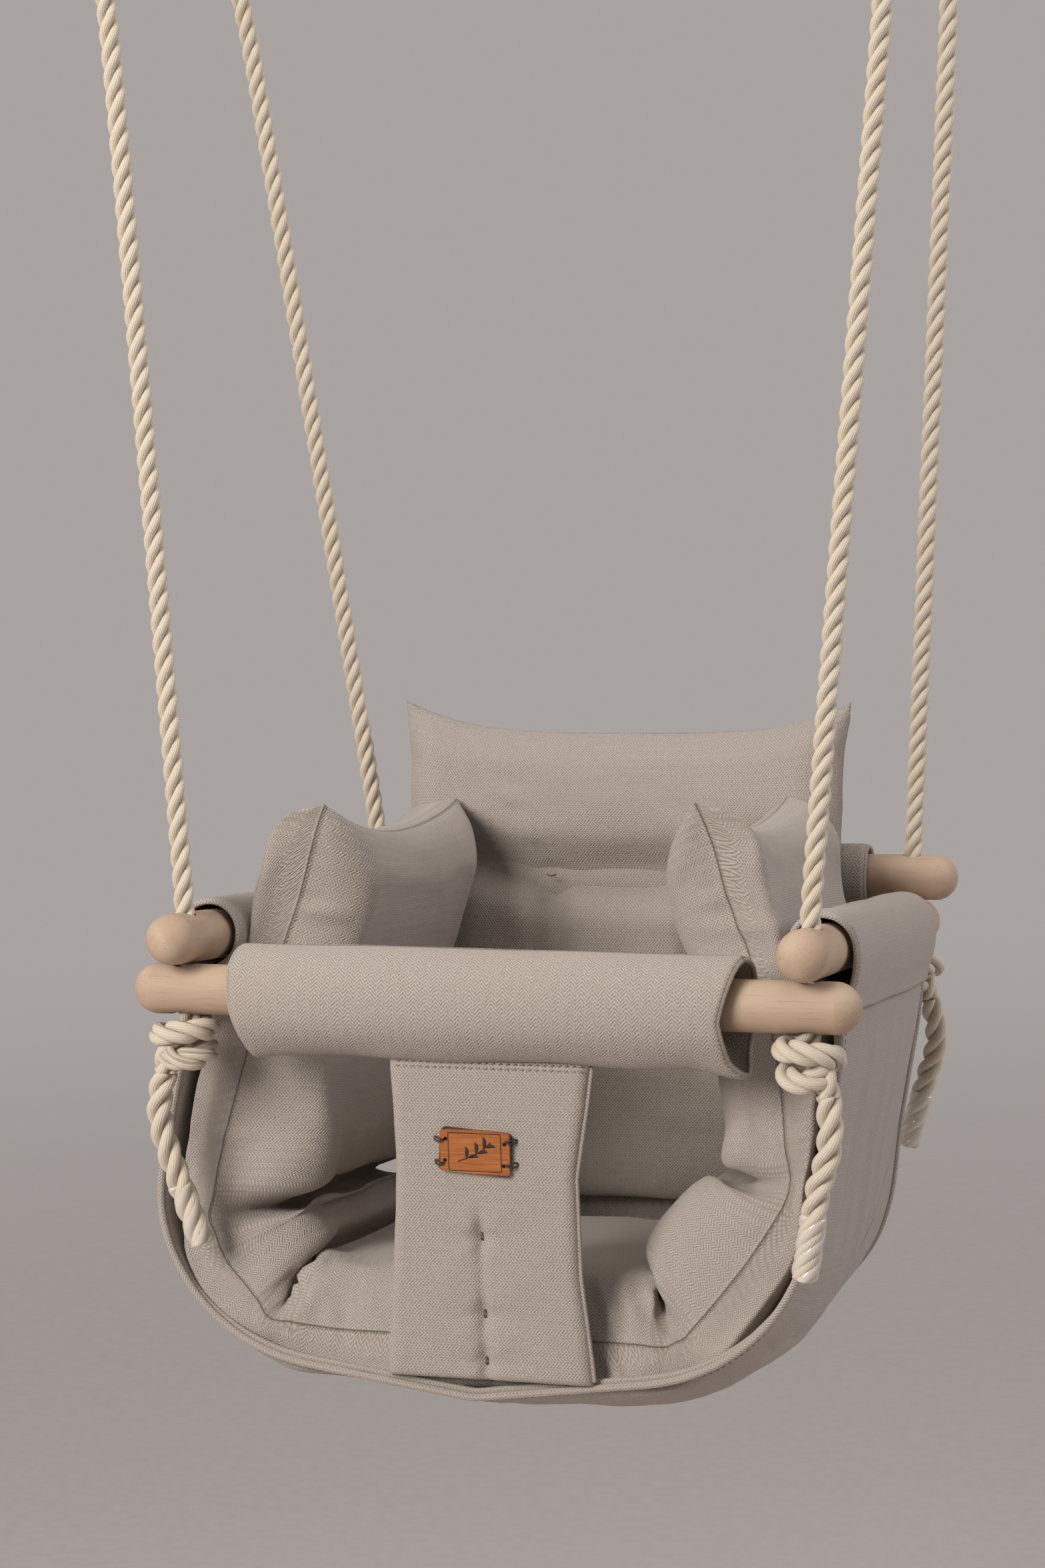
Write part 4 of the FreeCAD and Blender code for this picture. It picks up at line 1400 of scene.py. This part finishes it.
def add_back_cushion():
    stations = flow(BACK_CUSHION, 62)
    across = rounding(8, 6.2, 2 * BACK_CUSHION_HALF, BACK_CUSHION_ROUNDING)
    front, back = (back_cushion_layer(stations, across, way) for way in (1, -1))
    cushion = stuffed_pad("back_cushion_pad", front, back, 6.0, BACK_CREASES, 20.0)
    dress(cushion, "fabric", "cushion_fabric", "back_cushion")


# The crotch strap, its tacks and its wooden label.

# Plumb places: height, and from there the left and right edges.
STRAP_TOP = -34.0
STRAP_BOTTOM = -232.0
STRAP_SIDES = [
    (-34, -62, 62), (-60, -61, 58), (-105, -60.5, 50), (-165, -65, 50.5), (-215, -70, 55.5), (-232, -71, 57),
]  # fmt: skip
STRAP_HALF = 6.2  # half its thickness
TUFTS = (-143.0, -190.0, -219.0)  # heights of the tacks
TUFT_X = -9.0


def strap_surface(x, z, full, front):
    """Distance of the strap's face from its middle, pulled in at the tacks and along their line."""
    height = STRAP_HALF * full * (1 + 0.07 * ripple((x / 28, z / 30, front), 1.0, 7.0))
    for tuft in TUFTS:
        away = math.hypot(x, z - tuft)
        angle = math.atan2(z - tuft, x)
        height -= 4.2 * math.exp(-((x / 5) ** 2) - ((z - tuft) / 7) ** 2)
        height -= 0.9 * math.exp(-away / 20) * (1 + math.cos(4 * angle)) * min(1, away / 6)
    line = smooth((-118 - z) / 20)
    return height - 1.5 * line * math.exp(-((x / 2.6) ** 2))


def add_strap():
    rows = 84
    heights = np.array(STRAP_SIDES)
    fine = np.linspace(-1, 1, 60)
    edge = np.sqrt(np.clip(1 - np.clip((np.abs(fine) - 0.86) / 0.14, 0, 1) ** 2, 0, 1))
    front = np.zeros((rows, len(fine), 3))
    back = front.copy()
    for i, z in enumerate(np.linspace(STRAP_TOP, STRAP_BOTTOM, rows)):
        low_x = np.interp(-z, -heights[:, 0], heights[:, 1])
        high_x = np.interp(-z, -heights[:, 0], heights[:, 2])
        ends = math.sqrt(max(0, 1 - max(0, (abs(z - (STRAP_TOP + STRAP_BOTTOM) / 2) - 93) / 6) ** 2))
        for j, (t, full) in enumerate(zip(fine, edge)):
            x = low_x + (high_x - low_x) * (t + 1) / 2 + 0.5 * ripple((0, z / 22, t), 1.0, 2.0)
            full = full * max(ends, 0.0)
            front[i, j] = (x, -strap_surface(x - TUFT_X, z, full, 0) if full else 0, z)
            back[i, j] = (x, strap_surface(x - TUFT_X, z, full, 9) if full else 0, z)
    strap = pad_object("crotch_strap_pad", front[:, ::-1], back[:, ::-1], place=plumb)
    refine(strap)
    dress(strap, "fabric", "shell_fabric", "crotch_strap")
    add_tufts()
    add_strap_seams(heights)


def add_strap_seams(heights):
    """Double stitches where the strap leaves the cover, and the welt down its right edge."""
    out = np.tile([0, -1.0, 0], (40, 1))
    rows = []
    for drop in (3.2, 6.4):
        line = np.array([(x, -STRAP_HALF - 0.2, STRAP_TOP - drop) for x in np.linspace(-57, 61, 40)])
        rows += stitch_row(plumb(line), out)
    dress(bundle("strap_top_stitches", rows), "thread_pale", "thread")
    z = np.linspace(STRAP_TOP - 4, STRAP_BOTTOM + 3, 60)
    right = np.interp(-z, -heights[:, 0], heights[:, 2])
    add_rims("strap_welt", [plumb(np.stack([right - 0.4, np.full(60, -1.2), z], axis=1))], 1.5)


def add_tufts():
    """A few turns of thread at each tack, on the strap and on the back cushion."""
    parts = []
    for tuft in TUFTS:
        for shift in (-0.5, 0.5):
            bow = [(shift, -1.0, 2.4), (0, -2.4, 0), (-shift, -1.0, -2.4)]
            thread = plumb(flow(np.array(bow) + [TUFT_X, 0, tuft], 8))
            parts.append(tube_arrays(thread, 0.4 * MM, 7))
    for tack in BACK_TACKS:
        bow = [(-3, 327, 3), (0, 325, 2), (3, 327, 3)]
        thread = level(flow(np.array(bow) + [tack, 0, BACK_FOLD_N], 8))
        parts.append(tube_arrays(thread, 0.55 * MM, 7))
    dress(bundle("tack_threads", parts), "thread_brown", "thread", "tuft_threads")


# The label's burnt drawing and threads. On the plate, x and z run from -1 to 1 between its edges.

LABEL_LOW, LABEL_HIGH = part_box("label_plate")
LABEL_MIDDLE = (LABEL_LOW + LABEL_HIGH) / 2
LABEL_HALF = (LABEL_HIGH - LABEL_LOW) / 2
LABEL_FACE = LABEL_LOW.y - 0.05 * MM
LABEL_HOLE_INSET = 3.7  # from the plate's end to the middle of its holes
BORDER = [
    (-0.70, 0.80), (0.70, 0.80), (0.72, 0.78), (0.72, -0.78), (0.70, -0.80), (-0.70, -0.80),
    (-0.72, -0.78), (-0.72, 0.78), (-0.70, 0.80),
]  # fmt: skip
STEM = [(-0.46, -0.40), (-0.16, -0.22), (0.16, 0.04), (0.44, 0.44)]
LABEL_THREAD = [(0, 1.5, 0), (0.8, -0.9, 0.3), (3.6, -0.8, 0.9), (5.4, 1.6, 1.3), (6.8, 3.0, 0.5)]


def on_plate(points):
    x, z = np.array(points, float).T
    y = np.full(len(x), LABEL_FACE)
    return np.stack([LABEL_MIDDLE.x + x * LABEL_HALF.x, y, LABEL_MIDDLE.z + z * LABEL_HALF.z], axis=1)


def leaf_sprig():
    """Tubes for a stem with three pairs of leaves."""
    stem = flow(STEM, 20)
    width = (np.sin(np.linspace(0.15, math.pi - 0.1, 9)) * 1.35 + 0.1) * 0.8 * MM
    parts = [tube_arrays(on_plate(stem), 0.4 * MM, 6)]
    for at in (4, 9, 14):
        for root, lean in ((stem[at], [-0.02, 0.52]), (stem[at + 1], [0.27, 0.02])):
            tip = root + lean
            leaf = flow([root, (root + tip) / 2 + [0.03, 0.07], tip], 9)
            parts.append(tube_arrays(on_plate(leaf), width, 6))
    return parts


def add_label():
    """Burnt border and leaf sprig on the wooden plate, and the threads through its corner holes."""
    motif = bundle("label_motif", [tube_arrays(on_plate(BORDER), 0.28 * MM, 6)] + leaf_sprig())
    flat = points_of(motif)
    flat[:, 1] = LABEL_FACE + np.clip(flat[:, 1] - LABEL_FACE, -0.12 * MM, 0.3 * MM)
    set_points(motif, flat)
    dress(motif, "burnt", "label_wood")
    threads = []
    for side in (-1, 1):
        hole_x = LABEL_MIDDLE.x + side * (LABEL_HALF.x - LABEL_HOLE_INSET * MM)
        for height in (-1, 1):
            hole = np.array([hole_x, LABEL_FACE, LABEL_MIDDLE.z + height * LABEL_HALF.z / 2])
            for spread in (-1, 1):
                line = hole + np.array(LABEL_THREAD) * [side, 1, spread] * MM
                threads.append(tube_arrays(flow(line, 14), 0.5 * MM, 7))
    dress(bundle("label_threads", threads), "thread_dark", "thread", "label_stitches")


add_camera()
add_ropes()
add_studio()
dress_frame()
add_shell()
add_sleeves()
add_back_panel()
add_front_cover()
add_padding()
add_back_cushion()
add_strap()
add_label()
